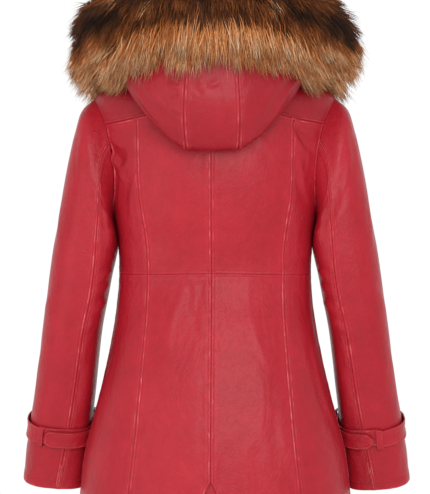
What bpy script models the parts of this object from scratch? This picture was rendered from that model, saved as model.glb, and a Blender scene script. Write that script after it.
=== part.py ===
"""Leather parka with a fur-trimmed hood, filled out as it is worn, its hood hanging down the back.

Metres, +Z up, the back of the coat faces +Y and the wearer's left is +X. The origin is in the
middle of the neck opening, level with the nape, where the wearer's shoulders hold the coat up.
Every cloth piece is a wall between a master surface and the same surface moved in by WALL, so
neighbours share their edges and stay SEAM apart.
"""

import math

import bmesh
import bpy
import numpy as np
from mathutils import Matrix, Vector

# Driving sizes
WALL = 0.002  # leather and lining together
SEAM = 0.0003  # between sewn pieces
LAP = 0.0004  # between a piece and what it lies on

# Levels of the body, measured up the side from the hem
VENT_TOP = 0.130
WAIST = 0.467
UNDERARM = 0.560
SHOULDER = 0.752
NECK = 0.872
ARMHOLE_TURN = 20.5  # half the armhole's width, degrees round the body
ARMHOLE_STEP = 20  # degrees between the points of an armhole
YOKE_STEP = 60  # the armhole's point where the yoke seam ends
VENT_GAP = 0.030  # half the vent's width at the hem
VENT_CURVE = 0.55  # how quickly the vent widens below its top
UNDERLAP_REACH = 0.014  # the underlap goes this far past the vent's edges
CENTRE_SHIFT = 0.003  # the centre back seam lies this far to the wearer's left
BODY_RADIUS, HEM_RADIUS, SIDE_RADIUS, SLEEVE_RADIUS, HOOD_RADIUS = 0.15, 0.14, 0.17, 0.05, 0.11

# level up the side, half width, depth to the back, depth to the front,
# height at centre back, side and centre front, squareness of the section
BODY_ROWS = (
    (0.000, 0.2340, 0.150, 0.160, -0.785, -0.785, -0.785, 2.2),
    (0.117, 0.2195, 0.146, 0.157, -0.668, -0.668, -0.668, 2.2),
    (0.175, 0.2125, 0.142, 0.154, -0.610, -0.610, -0.610, 2.2),
    (0.248, 0.1940, 0.133, 0.147, -0.537, -0.537, -0.537, 2.2),
    (0.312, 0.1780, 0.122, 0.139, -0.473, -0.473, -0.473, 2.2),
    (0.375, 0.1650, 0.106, 0.130, -0.410, -0.410, -0.410, 2.2),
    (0.467, 0.1540, 0.088, 0.120, -0.316, -0.318, -0.318, 2.2),
    (0.522, 0.1565, 0.097, 0.126, -0.262, -0.263, -0.263, 2.2),
    (0.560, 0.1630, 0.106, 0.133, -0.224, -0.225, -0.225, 2.3),
    (0.635, 0.1740, 0.116, 0.136, -0.138, -0.150, -0.160, 2.3),
    (0.704, 0.1850, 0.109, 0.120, -0.052, -0.081, -0.112, 2.3),
    (0.752, 0.1920, 0.098, 0.104, -0.028, -0.033, -0.093, 2.3),
    (0.815, 0.1330, 0.082, 0.094, -0.012, -0.012, -0.083, 2.2),
    (0.872, 0.0780, 0.066, 0.085, 0.000, 0.012, -0.075, 2.0),
)

# the largest folds: turn and level of one end and of the other, half width, height
BODY_FOLDS = (
    (62, 0.700, 69, 0.600, 0.022, -0.0035),
    (-58, 0.705, -68, 0.590, 0.022, -0.0040),
    (72, 0.500, 50, 0.486, 0.020, 0.0025),
    (-80, 0.505, -56, 0.482, 0.020, 0.0022),
    (40, 0.400, 52, 0.120, 0.040, 0.0035),
    (-36, 0.380, -46, 0.080, 0.040, 0.0030),
    (-12, 0.330, -16, 0.100, 0.035, -0.0025),
    (76, 0.380, 84, 0.060, 0.035, -0.0030),
    (-78, 0.400, -82, 0.100, 0.035, -0.0035),
    (122, 0.420, 130, 0.080, 0.040, 0.0040),
    (-118, 0.400, -128, 0.060, 0.040, 0.0035),
    (152, 0.520, 118, 0.600, 0.030, -0.0030),
    (-150, 0.510, -116, 0.590, 0.030, -0.0030),
)
FOLD_SPREAD = 0.0028  # metres of cloth for a degree of turn

# level, distance of the princess seam from the centre back
PRINCESS_ROWS = (
    (0.000, 0.137),
    (0.117, 0.131),
    (0.165, 0.126),
    (0.255, 0.118),
    (0.330, 0.112),
    (0.415, 0.106),
    (0.522, 0.107),
    (0.585, 0.116),
    (0.704, 0.121),
)

SKIRT_LEVELS = (0.000, 0.040, 0.085, 0.130, 0.175, 0.220, 0.265, 0.315, 0.365, 0.415, WAIST)
UPPER_LEVELS = (WAIST, 0.515)
NECK_LEVELS = (0.785, 0.815, 0.845, NECK)
SLEEVE_TOP_Z = -0.033

# drop of the outer line from the shoulder, outer x, inner x, inner z, middle y,
# half depth, forward pitch of the ring in degrees, turn of the back seam
SLEEVE_ROWS = (
    (0.017, 0.2165, 0.1655, -0.2370, 0.000, 0.0660, 0.0, 82),
    (0.055, 0.2265, 0.1660, -0.2480, 0.000, 0.0680, 0.0, 86),
    (0.097, 0.2360, 0.1660, -0.2620, 0.000, 0.0680, 0.0, 91),
    (0.147, 0.2455, 0.1650, -0.2750, 0.000, 0.0660, 0.0, 96),
    (0.198, 0.2535, 0.1645, -0.2920, 0.000, 0.0630, 0.0, 101),
    (0.242, 0.2615, 0.1675, -0.3150, -0.001, 0.0610, 2.0, 104),
    (0.297, 0.2700, 0.1745, -0.3580, -0.006, 0.0590, 6.0, 104),
    (0.352, 0.2785, 0.1840, -0.4050, -0.015, 0.0570, 9.0, 103),
    (0.407, 0.2865, 0.1905, -0.4520, -0.026, 0.0550, 11.0, 101),
    (0.462, 0.2945, 0.1965, -0.5020, -0.038, 0.0530, 12.5, 99),
    (0.517, 0.3025, 0.2035, -0.5530, -0.051, 0.0520, 13.5, 97),
    (0.569, 0.3095, 0.2095, -0.6020, -0.064, 0.0510, 14.0, 94),
    (0.622, 0.3155, 0.2155, -0.6520, -0.077, 0.0500, 14.0, 91),
)
SLEEVE_FRONT_SEAM = 220
TOP_COLUMNS, UNDER_COLUMNS = 11, 7
ARMHOLE_INSET = 0.0005  # the sleeve's first ring lies this far inside the armhole
CAP_LEAN, CAP_AGREE = 0.01, 1.3  # how the sleeve cap's wall turns into the body's own

# Cuff straps
STRAP_TOP, STRAP_WIDTH, STRAP_THICK = 0.520, 0.028, 0.0025
STRAP_STAND = 0.0008
TAB_FROM, TAB_COLUMNS, TAB_GAP = 222, 16, 0.0012
TAB_TIP = (0.94, 0.78, 0.42)  # how the tab narrows over its last columns
LOOP_TURNS = {"left": 66, "right": 84}  # the right strap is pulled tighter than the left
TAB_SHORT = 14  # the tab's tip ends this many degrees before its loop
LOOP_WIDE, LOOP_THICK, LOOP_LEG = 8, 0.0015, 0.0024
LOOP_GAP, LOOP_SPARE = 0.0006, 0.0045  # from the band to the loop, over it and beside it
BUCKLE_TURN, BUCKLE_HIGH, BUCKLE_WIDE = 212, 0.042, 0.024
BUCKLE_BAR, BUCKLE_THICK, BUCKLE_CORNER, BUCKLE_GAP = 0.0045, 0.003, 0.0031, 0.0006

# Front closure
PLACKET_HALF = 0.028
STUDS, STUD_SIDES, STUD_RADIUS, STUD_TOP, STUD_HIGH = 6, 12, 0.0075, 0.0054, 0.0035
STUD_LEVELS = (0.235, 0.688)

# direction from the neck's middle, then reach and height of the crest over the neckline,
# the layer against the back, the fold at the bottom and the outer layer,
# and the place on the fur's section where the rim ends
HOOD_ROWS = (
    (0, 0.080, 0.015, 0.1225, -0.070, 0.1500, -0.1270, 0.1890, -0.068, -50),
    (20, 0.081, 0.016, 0.1280, -0.066, 0.1565, -0.1210, 0.1910, -0.060, -53),
    (40, 0.083, 0.018, 0.1410, -0.030, 0.1640, -0.0680, 0.1880, -0.028, -62),
    (52, 0.083, 0.021, 0.1400, -0.010, 0.1600, -0.0360, 0.1760, -0.013, -80),
    (66, 0.083, 0.022, 0.1150, 0.000, 0.1390, -0.0090, 0.1440, -0.002, -112),
    (82, 0.084, 0.021, 0.0900, 0.022, 0.0960, 0.0200, 0.1010, 0.020, -150),
    (100, 0.084, 0.014, 0.0900, 0.015, 0.0960, 0.0150, 0.1010, 0.015, -160),
    (125, 0.086, -0.012, 0.0910, -0.011, 0.0970, -0.0100, 0.1020, -0.009, -165),
    (150, 0.089, -0.049, 0.0950, -0.047, 0.1010, -0.0450, 0.1070, -0.043, -170),
    (162, 0.090, -0.067, 0.0960, -0.066, 0.1030, -0.0650, 0.1110, -0.065, -172),
)
RIM_GAP = 0.0019  # from the fur to the hood's rim, whose wall leans towards it
FUR_SIZE = 0.07  # the fur section's usual half size
HOOD_END = 160
HOOD_SEAM = (22, 14, 12.5)  # direction of the centre panel's seam at the neck, fold and rim
HOOD_CENTER_COLUMNS, HOOD_SIDE_COLUMNS = 4, 12
HOOD_STEPS = (0, 0.5, 1, 1.35, 1.7, 2, 2.35, 2.7, 3, 3.25, 3.5, 4, 4.5, 5)

# direction, reach of the middle from the neck's middle, height of the middle,
# half size across and upwards
FUR_ROWS = (
    (0, 0.1400, 0.0956, 0.0770, 0.0770),
    (33, 0.1484, 0.0880, 0.0760, 0.0740),
    (60, 0.1612, 0.0700, 0.0740, 0.0660),
    (85, 0.1673, 0.0480, 0.0680, 0.0580),
    (107, 0.1657, 0.0340, 0.0620, 0.0520),
    (128, 0.1600, 0.0030, 0.0550, 0.0500),
    (148, 0.1595, -0.0300, 0.0480, 0.0460),
    (162, 0.1580, -0.0580, 0.0400, 0.0400),
    (172, 0.1570, -0.0750, 0.0360, 0.0360),
)
FUR_SIDES = 14
FUR_TURNS = (0, 12, 24, 36, 48, 60, 72, 84, 96, 108, 120, 132, 144, 154)
FUR_END = ((160, 0.90), (164, 0.68), (166.5, 0.36))
FUR_TIP = 167.5

LEATHER = ("red_leather", (0.52, 0.035, 0.052, 1), 0.38, 0.0)
FUR = ("fur", (0.30, 0.16, 0.08, 1), 0.85, 0.0)
METAL = ("dark_metal", (0.10, 0.10, 0.11, 1), 0.28, 1.0)

for old in list(bpy.data.objects):
    bpy.data.objects.remove(old, do_unlink=True)
parka = bpy.data.collections.new("leather_parka")
bpy.context.scene.collection.children.link(parka)


def material(name, colour, roughness, metallic):
    """The piece's finish, made once and shared by name."""
    found = bpy.data.materials.get(name)
    if found:
        return found
    made = bpy.data.materials.new(name)
    made.use_nodes = True
    shader = made.node_tree.nodes["Principled BSDF"]
    shader.inputs["Base Color"].default_value = colour
    shader.inputs["Roughness"].default_value = roughness
    shader.inputs["Metallic"].default_value = metallic
    return made


def place(name, mesh, finish):
    """Puts a mesh in the coat's collection under its own name."""
    piece = bpy.data.objects.new(name, mesh)
    piece.data.materials.append(material(*finish))
    parka.objects.link(piece)
    mesh.shade_smooth()
    mesh.set_sharp_from_angle(angle=math.radians(40))
    return piece


def closed_mesh(name, points, faces):
    """A mesh from points and faces, turned so that its faces point out."""
    mesh = bpy.data.meshes.new(name)
    mesh.from_pydata([tuple(p) for p in points], [], faces)
    shape = bmesh.new()
    shape.from_mesh(mesh)
    if shape.calc_volume(signed=True) < 0:
        bmesh.ops.reverse_faces(shape, faces=shape.faces)
    shape.to_mesh(mesh)
    shape.free()
    return mesh


def smooth(knots, values, at):
    """Values on a smooth curve through the knots, at any places along it."""
    knots, values, at = np.asarray(knots, float), np.asarray(values, float), np.asarray(at, float)
    slopes = np.gradient(values, knots, axis=0)
    at = np.clip(at, knots[0], knots[-1])
    k = np.clip(np.searchsorted(knots, at, side="right") - 1, 0, len(knots) - 2)
    step = (knots[k + 1] - knots[k])[..., None]
    t = (at - knots[k])[..., None] / step
    start = (1 + 2 * t) * (1 - t) ** 2 * values[k] + t * (1 - t) ** 2 * step * slopes[k]
    return start + t * t * (3 - 2 * t) * values[k + 1] + t * t * (t - 1) * step * slopes[k + 1]


def normals(surface, a, b, step_a, step_b):
    """Outward unit normals of a surface(a, b) whose a runs round and b runs up."""
    along = surface(a + step_a, b) - surface(a - step_a, b)
    up = surface(a, b + step_b) - surface(a, b - step_b)
    across = np.cross(up, along)
    return across / np.linalg.norm(across, axis=-1, keepdims=True)


def wall(name, outer, outward, thick=WALL, finish=LEATHER):
    """A closed wall: a grid of outer points, and the same grid moved in by its thickness."""
    rows, columns = outer.shape[:2]
    inner = outer - outward * thick
    points = np.concatenate([outer.reshape(-1, 3), inner.reshape(-1, 3)])
    back = rows * columns

    def at(row, column):
        return row * columns + column

    faces = []
    for row in range(rows - 1):
        for column in range(columns - 1):
            ring = (at(row, column), at(row, column + 1), at(row + 1, column + 1), at(row + 1, column))
            faces.append(ring)
            faces.append(tuple(back + corner for corner in reversed(ring)))
    edge = [at(0, column) for column in range(columns)]
    edge += [at(row, columns - 1) for row in range(1, rows)]
    edge += [at(rows - 1, column) for column in range(columns - 2, -1, -1)]
    edge += [at(row, 0) for row in range(rows - 2, 0, -1)]
    for here, there in zip(edge, edge[1:] + edge[:1]):
        faces.append((there, here, back + here, back + there))
    return place(name, closed_mesh(name, points, faces), finish)


# ---- Body: one surface round the trunk, cut into its panels ----


def fold_height(turn, level):
    """How far the folds lift the body's surface; each is a soft ridge or trough along a short line."""
    turn = (turn + 180) % 360 - 180
    lift = np.zeros_like(level, dtype=float)
    for turn_a, level_a, turn_b, level_b, width, height in BODY_FOLDS:
        run = np.array([(turn_b - turn_a) * FOLD_SPREAD, level_b - level_a])
        away = np.stack([(turn - turn_a) * FOLD_SPREAD, level - level_a], axis=-1)
        along = np.clip(away @ run / (run @ run), 0, 1)
        gap = np.linalg.norm(away - along[..., None] * run, axis=-1)
        lift += height * np.exp(-((gap / width) ** 2))
    return lift


def body_point(turn, level):
    """A point of the body's surface; turn 0 is centre back, 90 the wearer's left side, 180 centre front."""
    fold = fold_height(*np.broadcast_arrays(np.asarray(turn, float), np.asarray(level, float)))
    turn, level = np.broadcast_arrays(np.radians(turn), level)
    row = smooth([r[0] for r in BODY_ROWS], [r[1:] for r in BODY_ROWS], level)
    width, back_y, front_y, back_z, side_z, front_z, square = np.moveaxis(row, -1, 0)
    behind = np.cos(turn) > 0
    depth = np.where(behind, back_y, front_y)
    reach = (np.abs(np.sin(turn)) / width) ** square + (np.abs(np.cos(turn)) / depth) ** square
    reach = reach ** (-1 / square) + fold
    high = side_z + (np.where(behind, back_z, front_z) - side_z) * np.cos(turn) ** 2
    return np.stack([reach * np.sin(turn), reach * np.cos(turn), high], axis=-1)


def body_normal(turn, level):
    return normals(body_point, np.asarray(turn, float), np.asarray(level, float), 0.2, 0.002)


def turn_at(distance, level):
    """The turn at which the back of the body is a given distance to the side of its middle."""
    low, high = 0.0, 88.0
    for _ in range(30):
        middle = (low + high) / 2
        if body_point(middle, level)[0] < abs(distance):
            low = middle
        else:
            high = middle
    return math.copysign(low, distance)


def armhole_level(step):
    """Level of the armhole's point at an angle from the shoulder (0) round the back to the underarm (180)."""
    half = (SHOULDER - UNDERARM) / 2
    return (SHOULDER + UNDERARM) / 2 + half * math.cos(math.radians(step))


def armhole_turn(level):
    """How far the armhole's edge is from the side of the body at a level, in degrees of turn."""
    half = (SHOULDER - UNDERARM) / 2
    share = (level - (SHOULDER + UNDERARM) / 2) / half
    return ARMHOLE_TURN * math.sqrt(max(0.0, 1 - share * share))


def side_edge(level, behind=True):
    """The side seam, the armhole's edge or the shoulder seam, whichever bounds the panel at a level."""
    cut = armhole_turn(level) if UNDERARM < level < SHOULDER else 0.0
    return 90 - cut if behind else 90 + cut


def princess(level):
    table = np.array(PRINCESS_ROWS)
    return turn_at(float(smooth(table[:, 0], table[:, 1:], level)[0]), level)


def centre_back(level):
    return turn_at(CENTRE_SHIFT, level)


def vent_half(level):
    """Half the width of the vent, in degrees of turn, which opens quickly below its top."""
    if level >= VENT_TOP:
        return 0.0
    return turn_at(VENT_GAP * ((VENT_TOP - level) / VENT_TOP) ** VENT_CURVE, level)


def placket_edge(level):
    return 180 - math.degrees(PLACKET_HALF / body_reach(level))


def body_reach(level):
    return float(np.linalg.norm(body_point(180.0, level)[:2]))


def body_panel(name, side, edges, columns, levels, out=0.0, thick=WALL):
    """A panel between edges that are given as turns for each level; columns lie between the edges."""
    half = math.degrees(SEAM / 2 / BODY_RADIUS)
    heights = list(levels)
    heights[0] += SEAM / 2
    heights[-1] -= SEAM / 2
    turns = []
    for level in levels:
        marks = [edge(level) for edge in edges]
        marks[0] += half
        marks[-1] -= half
        row = [marks[0]]
        for start, end, count in zip(marks, marks[1:], columns):
            row += [start + (end - start) * (i + 1) / count for i in range(count)]
        turns.append(row)
    turns = np.array(turns) * side
    heights = np.array(heights)[:, None] * np.ones_like(turns)
    outward = body_normal(turns, heights)
    return wall(name, body_point(turns, heights) + outward * out, outward, thick)


ARMHOLE_LEVELS = [armhole_level(step) for step in range(180, -1, -ARMHOLE_STEP)]
BELOW_YOKE = list(UPPER_LEVELS) + [h for h in ARMHOLE_LEVELS if h < armhole_level(YOKE_STEP) + 1e-6]
ABOVE_YOKE = [h for h in ARMHOLE_LEVELS if h > armhole_level(YOKE_STEP) - 1e-6] + list(NECK_LEVELS)
FRONT_LEVELS = SKIRT_LEVELS[:-1] + tuple(BELOW_YOKE) + tuple(ABOVE_YOKE[1:])
CENTRE_COLUMNS, SIDE_COLUMNS, FRONT_COLUMNS = 4, 5, 6

body_panel(
    "back_yoke",
    1,
    (
        lambda level: -side_edge(level),
        lambda level: -princess(min(level, armhole_level(YOKE_STEP))),
        centre_back,
        lambda level: princess(min(level, armhole_level(YOKE_STEP))),
        side_edge,
    ),
    (SIDE_COLUMNS, CENTRE_COLUMNS, CENTRE_COLUMNS, SIDE_COLUMNS),
    ABOVE_YOKE,
)
for side, hand in ((1, "left"), (-1, "right")):

    def middle_edge(level, side=side):
        return centre_back(level) * side

    def vent_edge(level, side=side):
        return centre_back(level) * side + vent_half(level)

    body_panel(f"back_upper_{hand}", side, (middle_edge, princess), (CENTRE_COLUMNS,), BELOW_YOKE)
    body_panel(f"back_side_{hand}", side, (princess, side_edge), (SIDE_COLUMNS,), BELOW_YOKE)
    body_panel(f"skirt_back_{hand}", side, (vent_edge, princess), (CENTRE_COLUMNS,), SKIRT_LEVELS)
    body_panel(f"skirt_side_{hand}", side, (princess, side_edge), (SIDE_COLUMNS,), SKIRT_LEVELS)
    body_panel(
        f"front_{hand}",
        side,
        (lambda level: side_edge(level, False), placket_edge, lambda level: 180.0),
        (FRONT_COLUMNS, 1),
        FRONT_LEVELS,
    )


def underlap_half(level):
    return vent_half(level) + math.degrees(UNDERLAP_REACH / HEM_RADIUS)


body_panel(
    "vent_underlap",
    1,
    (
        lambda level: centre_back(level) - underlap_half(level),
        centre_back,
        lambda level: centre_back(level) + underlap_half(level),
    ),
    (3, 3),
    (0.004, 0.040, 0.085, 0.130, 0.150),
    out=-WALL - 2 * LAP,
)
body_panel(
    "front_placket",
    1,
    (placket_edge, lambda level: 180.0, lambda level: 360 - placket_edge(level)),
    (1, 1),
    FRONT_LEVELS,
    out=WALL + LAP,
)


def placket_seat(level):
    """A point of the placket's face at its middle, and the face's normal, between two of its rows."""
    above = next(i for i, row in enumerate(FRONT_LEVELS) if row > level)
    low, high = FRONT_LEVELS[above - 1 : above + 1]
    ends = [Vector(body_point(180.0, row) + body_normal(180.0, row) * (WALL + LAP)) for row in (low, high)]
    rise = ends[1] - ends[0]
    return ends[0] + rise * (level - low) / (high - low), Vector((1, 0, 0)).cross(rise).normalized()


for number in range(STUDS):
    seat, outward = placket_seat(STUD_LEVELS[0] + (STUD_LEVELS[1] - STUD_LEVELS[0]) * number / (STUDS - 1))
    seat += outward * (2 * LAP + STUD_HIGH / 2)
    bpy.ops.mesh.primitive_cone_add(
        vertices=STUD_SIDES,
        radius1=STUD_RADIUS,
        radius2=STUD_TOP,
        depth=STUD_HIGH,
        location=seat,
        rotation=outward.to_track_quat("Z", "Y").to_euler(),
    )
    stud = bpy.context.object
    stud.name = f"stud_{number + 1}"
    stud.data.materials.append(material(*METAL))
    for holder in list(stud.users_collection):
        holder.objects.unlink(stud)
    parka.objects.link(stud)


# ---- Sleeves: rings from the armhole to the cuff, in two pieces ----


def armhole_point(angle, inset=0.0):
    """A point of the armhole; angle 0 is the shoulder, 90 the back, 180 the underarm."""
    angle = np.radians(angle)
    half = (SHOULDER - UNDERARM) / 2 - inset
    level = (SHOULDER + UNDERARM) / 2 + half * np.cos(angle)
    turn = 90 - (ARMHOLE_TURN - math.degrees(inset / SIDE_RADIUS)) * np.sin(angle)
    return body_point(turn, level), body_normal(turn, level)


def sleeve_point(angle, drop):
    """A point of the left sleeve; the drop runs down its outer line from the shoulder."""
    angle, drop = np.broadcast_arrays(np.asarray(angle, float), np.asarray(drop, float))
    rings = [armhole_point(angle, ARMHOLE_INSET)[0]]
    turned = np.radians(angle)[..., None]
    for fall, outer_x, inner_x, inner_z, mid_y, depth, pitch, _ in SLEEVE_ROWS:
        outer = np.array([outer_x, mid_y, SLEEVE_TOP_Z - fall])
        inner = np.array([inner_x, mid_y, inner_z])
        tilt = math.radians(pitch)
        back = np.array([0.0, math.cos(tilt), -math.sin(tilt)]) * depth
        rings.append((outer + inner) / 2 + (outer - inner) / 2 * np.cos(turned) + back * np.sin(turned))
    knots = [0.0] + [row[0] for row in SLEEVE_ROWS]
    rings = np.array(rings)
    flat = rings.reshape(len(knots), -1, 3)
    drops = drop.reshape(-1)
    found = [smooth(knots, flat[:, i], drops[i]) for i in range(len(drops))]
    return np.array(found).reshape(drop.shape + (3,))


def sleeve_normal(angle, drop):
    """Outward normals; at the armhole they lean to the body's own where the two nearly agree."""
    own = normals(sleeve_point, angle, drop, 0.5, 0.002)
    body = armhole_point(angle)[1]
    agree = np.clip(CAP_AGREE * (own * body).sum(axis=-1), 0, 1)
    lean = (np.clip(1 - drop / CAP_LEAN, 0, 1) * agree)[..., None]
    mixed = own * (1 - lean) + body * lean
    return mixed / np.linalg.norm(mixed, axis=-1, keepdims=True)


def back_seam(drop):
    knots = [0.0] + [row[0] for row in SLEEVE_ROWS]
    return smooth(knots, [[80.0]] + [[row[-1]] for row in SLEEVE_ROWS], drop)[..., 0]


def sleeve_turns(drop, start, end, fine=1):
    """Angles of the columns at a drop, between two of the marks front, back and front again."""
    seam = float(back_seam(drop))
    marks = {"front": SLEEVE_FRONT_SEAM - 360, "back": seam, "round": SLEEVE_FRONT_SEAM}
    counts = {("front", "back"): TOP_COLUMNS, ("back", "round"): UNDER_COLUMNS}
    count = counts[(start, end)] * fine
    return [marks[start] + (marks[end] - marks[start]) * i / count for i in range(count + 1)]


SLEEVE_DROPS = [0.0] + [row[0] for row in SLEEVE_ROWS]
LEFT = np.array([1.0, 1.0, 1.0])
RIGHT = np.array([-1.0, 1.0, 1.0])
for mirror, hand in ((LEFT, "left"), (RIGHT, "right")):
    for name, start, end in (("sleeve_top", "front", "back"), ("sleeve_under", "back", "round")):
        angles = np.array([sleeve_turns(drop, start, end) for drop in SLEEVE_DROPS])
        angles[:, 0] += math.degrees(SEAM / 2 / SLEEVE_RADIUS)
        angles[:, -1] -= math.degrees(SEAM / 2 / SLEEVE_RADIUS)
        drops = np.array(SLEEVE_DROPS)[:, None] * np.ones_like(angles)
        outward = sleeve_normal(angles, drops)
        wall(f"{name}_{hand}", sleeve_point(angles, drops) * mirror, outward * mirror)


# ---- Cuff straps with their keepers, tabs and buckles ----


def strap_frame(angle, drop, out):
    """Points on the sleeve moved out, with their normals."""
    outward = sleeve_normal(angle, drop)
    return sleeve_point(angle, drop) + outward * np.asarray(out)[..., None], outward


def ring_angles(drop):
    top = sleeve_turns(drop, "front", "back", 2)
    return top[:-1] + sleeve_turns(drop, "back", "round", 2)[:-1]


def strap_ring(name, mirror):
    """A closed band round the sleeve, of four corners at each turn."""
    points = []
    low = STRAP_TOP + STRAP_WIDTH
    angles = ring_angles(STRAP_TOP)
    for angle in angles:
        for drop, out in (
            (STRAP_TOP, STRAP_STAND),
            (STRAP_TOP, STRAP_STAND + STRAP_THICK),
            (low, LAP + STRAP_THICK),
            (low, LAP),
        ):
            spot, _ = strap_frame(np.array(angle), np.array(drop), np.array(out))
            points.append(spot * mirror)
    faces = []
    for here in range(len(angles)):
        there = (here + 1) % len(angles)
        for corner in range(4):
            after = (corner + 1) % 4
            faces.append((here * 4 + corner, there * 4 + corner, there * 4 + after, here * 4 + after))
    place(name, closed_mesh(name, points, faces), LEATHER)


def strap_out(drop):
    """How far the band's outer face stands out from the sleeve at a drop."""
    share = (drop - STRAP_TOP) / STRAP_WIDTH
    return STRAP_STAND + (LAP - STRAP_STAND) * share + STRAP_THICK


def tab(name, mirror, loop_turn):
    """The band's free end, lying over it, with a rounded tip."""
    angles = np.linspace(TAB_FROM, loop_turn + TAB_SHORT, TAB_COLUMNS)
    tip = np.ones(TAB_COLUMNS)
    tip[-len(TAB_TIP) :] = TAB_TIP
    middle = STRAP_TOP + STRAP_WIDTH / 2
    share = np.linspace(-0.48, 0.48, 3)
    drops = middle + STRAP_WIDTH * share[:, None] * tip[None, :]
    turns = np.broadcast_to(angles, drops.shape)
    spots, outward = strap_frame(turns, drops, strap_out(drops) + TAB_GAP + STRAP_THICK)
    wall(name, spots * mirror, outward * mirror, STRAP_THICK)


def keeper(name, mirror, loop_turn):
    """A leather loop over the band, its two ends down on the sleeve."""
    low, high = STRAP_TOP - LOOP_SPARE, STRAP_TOP + STRAP_WIDTH + LOOP_SPARE
    over = STRAP_STAND + STRAP_THICK + LOOP_GAP
    profile = (
        (low, LAP),
        (low, over + LOOP_THICK),
        (high, over + LOOP_THICK),
        (high, LAP),
        (high - LOOP_LEG, LAP),
        (high - LOOP_LEG, over),
        (low + LOOP_LEG, over),
        (low + LOOP_LEG, LAP),
    )
    turns = (loop_turn - LOOP_WIDE / 2, loop_turn + LOOP_WIDE / 2)
    points = []
    for angle in turns:
        for drop, out in profile:
            spot, _ = strap_frame(np.array(float(angle)), np.array(drop), np.array(out))
            points.append(spot * mirror)
    count = len(profile)
    faces = [(0, 1, 6, 7), (1, 2, 5, 6), (2, 3, 4, 5)]
    faces += [tuple(count + corner for corner in reversed(face)) for face in list(faces)]
    faces += [(i, count + i, count + (i + 1) % count, (i + 1) % count) for i in range(count)]
    place(name, closed_mesh(name, points, faces), LEATHER)


def buckle(name, mirror):
    """A flat metal frame with a middle bar, standing on the tab's root."""
    middle = STRAP_TOP + STRAP_WIDTH / 2
    out = strap_out(middle) + TAB_GAP + STRAP_THICK + BUCKLE_GAP + BUCKLE_THICK / 2
    spot, outward = strap_frame(np.array(float(BUCKLE_TURN)), np.array(middle), np.array(out))
    lower, _ = strap_frame(np.array(float(BUCKLE_TURN)), np.array(middle + 0.01), np.array(out))
    normal = Vector(outward * mirror)
    down = (Vector((lower - spot) * mirror)).normalized()
    down = (down - normal * down.dot(normal)).normalized()
    across = normal.cross(down)
    curve = bpy.data.curves.new(name, "CURVE")
    curve.dimensions = "2D"
    curve.fill_mode = "BOTH"
    curve.extrude = BUCKLE_THICK / 2
    half_w, half_h, bar = BUCKLE_WIDE / 2, BUCKLE_HIGH / 2, BUCKLE_BAR
    outline = ((-half_w, -half_h), (half_w, -half_h), (half_w, half_h), (-half_w, half_h))
    window = (half_w - bar, half_h - bar)
    holes = (
        ((-window[0], -window[1]), (-bar / 2, window[1])),
        ((bar / 2, -window[1]), (window[0], window[1])),
    )
    loops = [cut_corners(outline, BUCKLE_CORNER)]
    for (left, bottom), (right, top) in holes:
        loops.append(((left, bottom), (right, bottom), (right, top), (left, top)))
    for loop in loops:
        spline = curve.splines.new("POLY")
        spline.points.add(len(loop) - 1)
        spline.use_cyclic_u = True
        for point, (x, y) in zip(spline.points, loop):
            point.co = (x, y, 0, 1)
    flat = bpy.data.objects.new(name + "_outline", curve)
    parka.objects.link(flat)
    mesh = bpy.data.meshes.new_from_object(flat.evaluated_get(bpy.context.evaluated_depsgraph_get()))
    shape = bmesh.new()
    shape.from_mesh(mesh)
    bmesh.ops.remove_doubles(shape, verts=shape.verts, dist=0.00001)
    turn = Matrix((across, down, normal)).transposed().to_4x4()
    shape.transform(Matrix.Translation(Vector(spot * mirror)) @ turn)
    bmesh.ops.recalc_face_normals(shape, faces=shape.faces)
    shape.to_mesh(mesh)
    shape.free()
    bpy.data.objects.remove(flat, do_unlink=True)
    place(name, mesh, METAL)


def cut_corners(outline, cut):
    """The outline with each corner replaced by two points."""
    found = []
    for i, corner in enumerate(outline):
        for other in (outline[i - 1], outline[(i + 1) % len(outline)]):
            span = math.hypot(other[0] - corner[0], other[1] - corner[1])
            found.append(tuple(c + (o - c) * cut / span for c, o in zip(corner, other)))
    return found


for mirror, hand in ((LEFT, "left"), (RIGHT, "right")):
    strap_ring(f"strap_{hand}", mirror)
    tab(f"strap_tab_{hand}", mirror, LOOP_TURNS[hand])
    keeper(f"strap_loop_{hand}", mirror, LOOP_TURNS[hand])
    buckle(f"buckle_{hand}", mirror)


# ---- Fur trim: a fat horseshoe round the neck, thinner towards its two ends ----


def fur_section(direction):
    table = np.array(FUR_ROWS, float)
    return smooth(table[:, 0], table[:, 1:], np.abs(direction))


def fur_point(direction, angle, scale=1.0):
    """A point of the fur's surface; angle 0 is outward, 90 up, -90 down, 180 towards the neck."""
    direction, angle = np.broadcast_arrays(np.asarray(direction, float), np.asarray(angle, float))
    reach, high, across, up = np.moveaxis(fur_section(direction), -1, 0)
    away = reach + across * scale * np.cos(np.radians(angle))
    turn = np.radians(direction)
    level = high + up * scale * np.sin(np.radians(angle))
    return np.stack([away * np.sin(turn), away * np.cos(turn), level], axis=-1)


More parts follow.
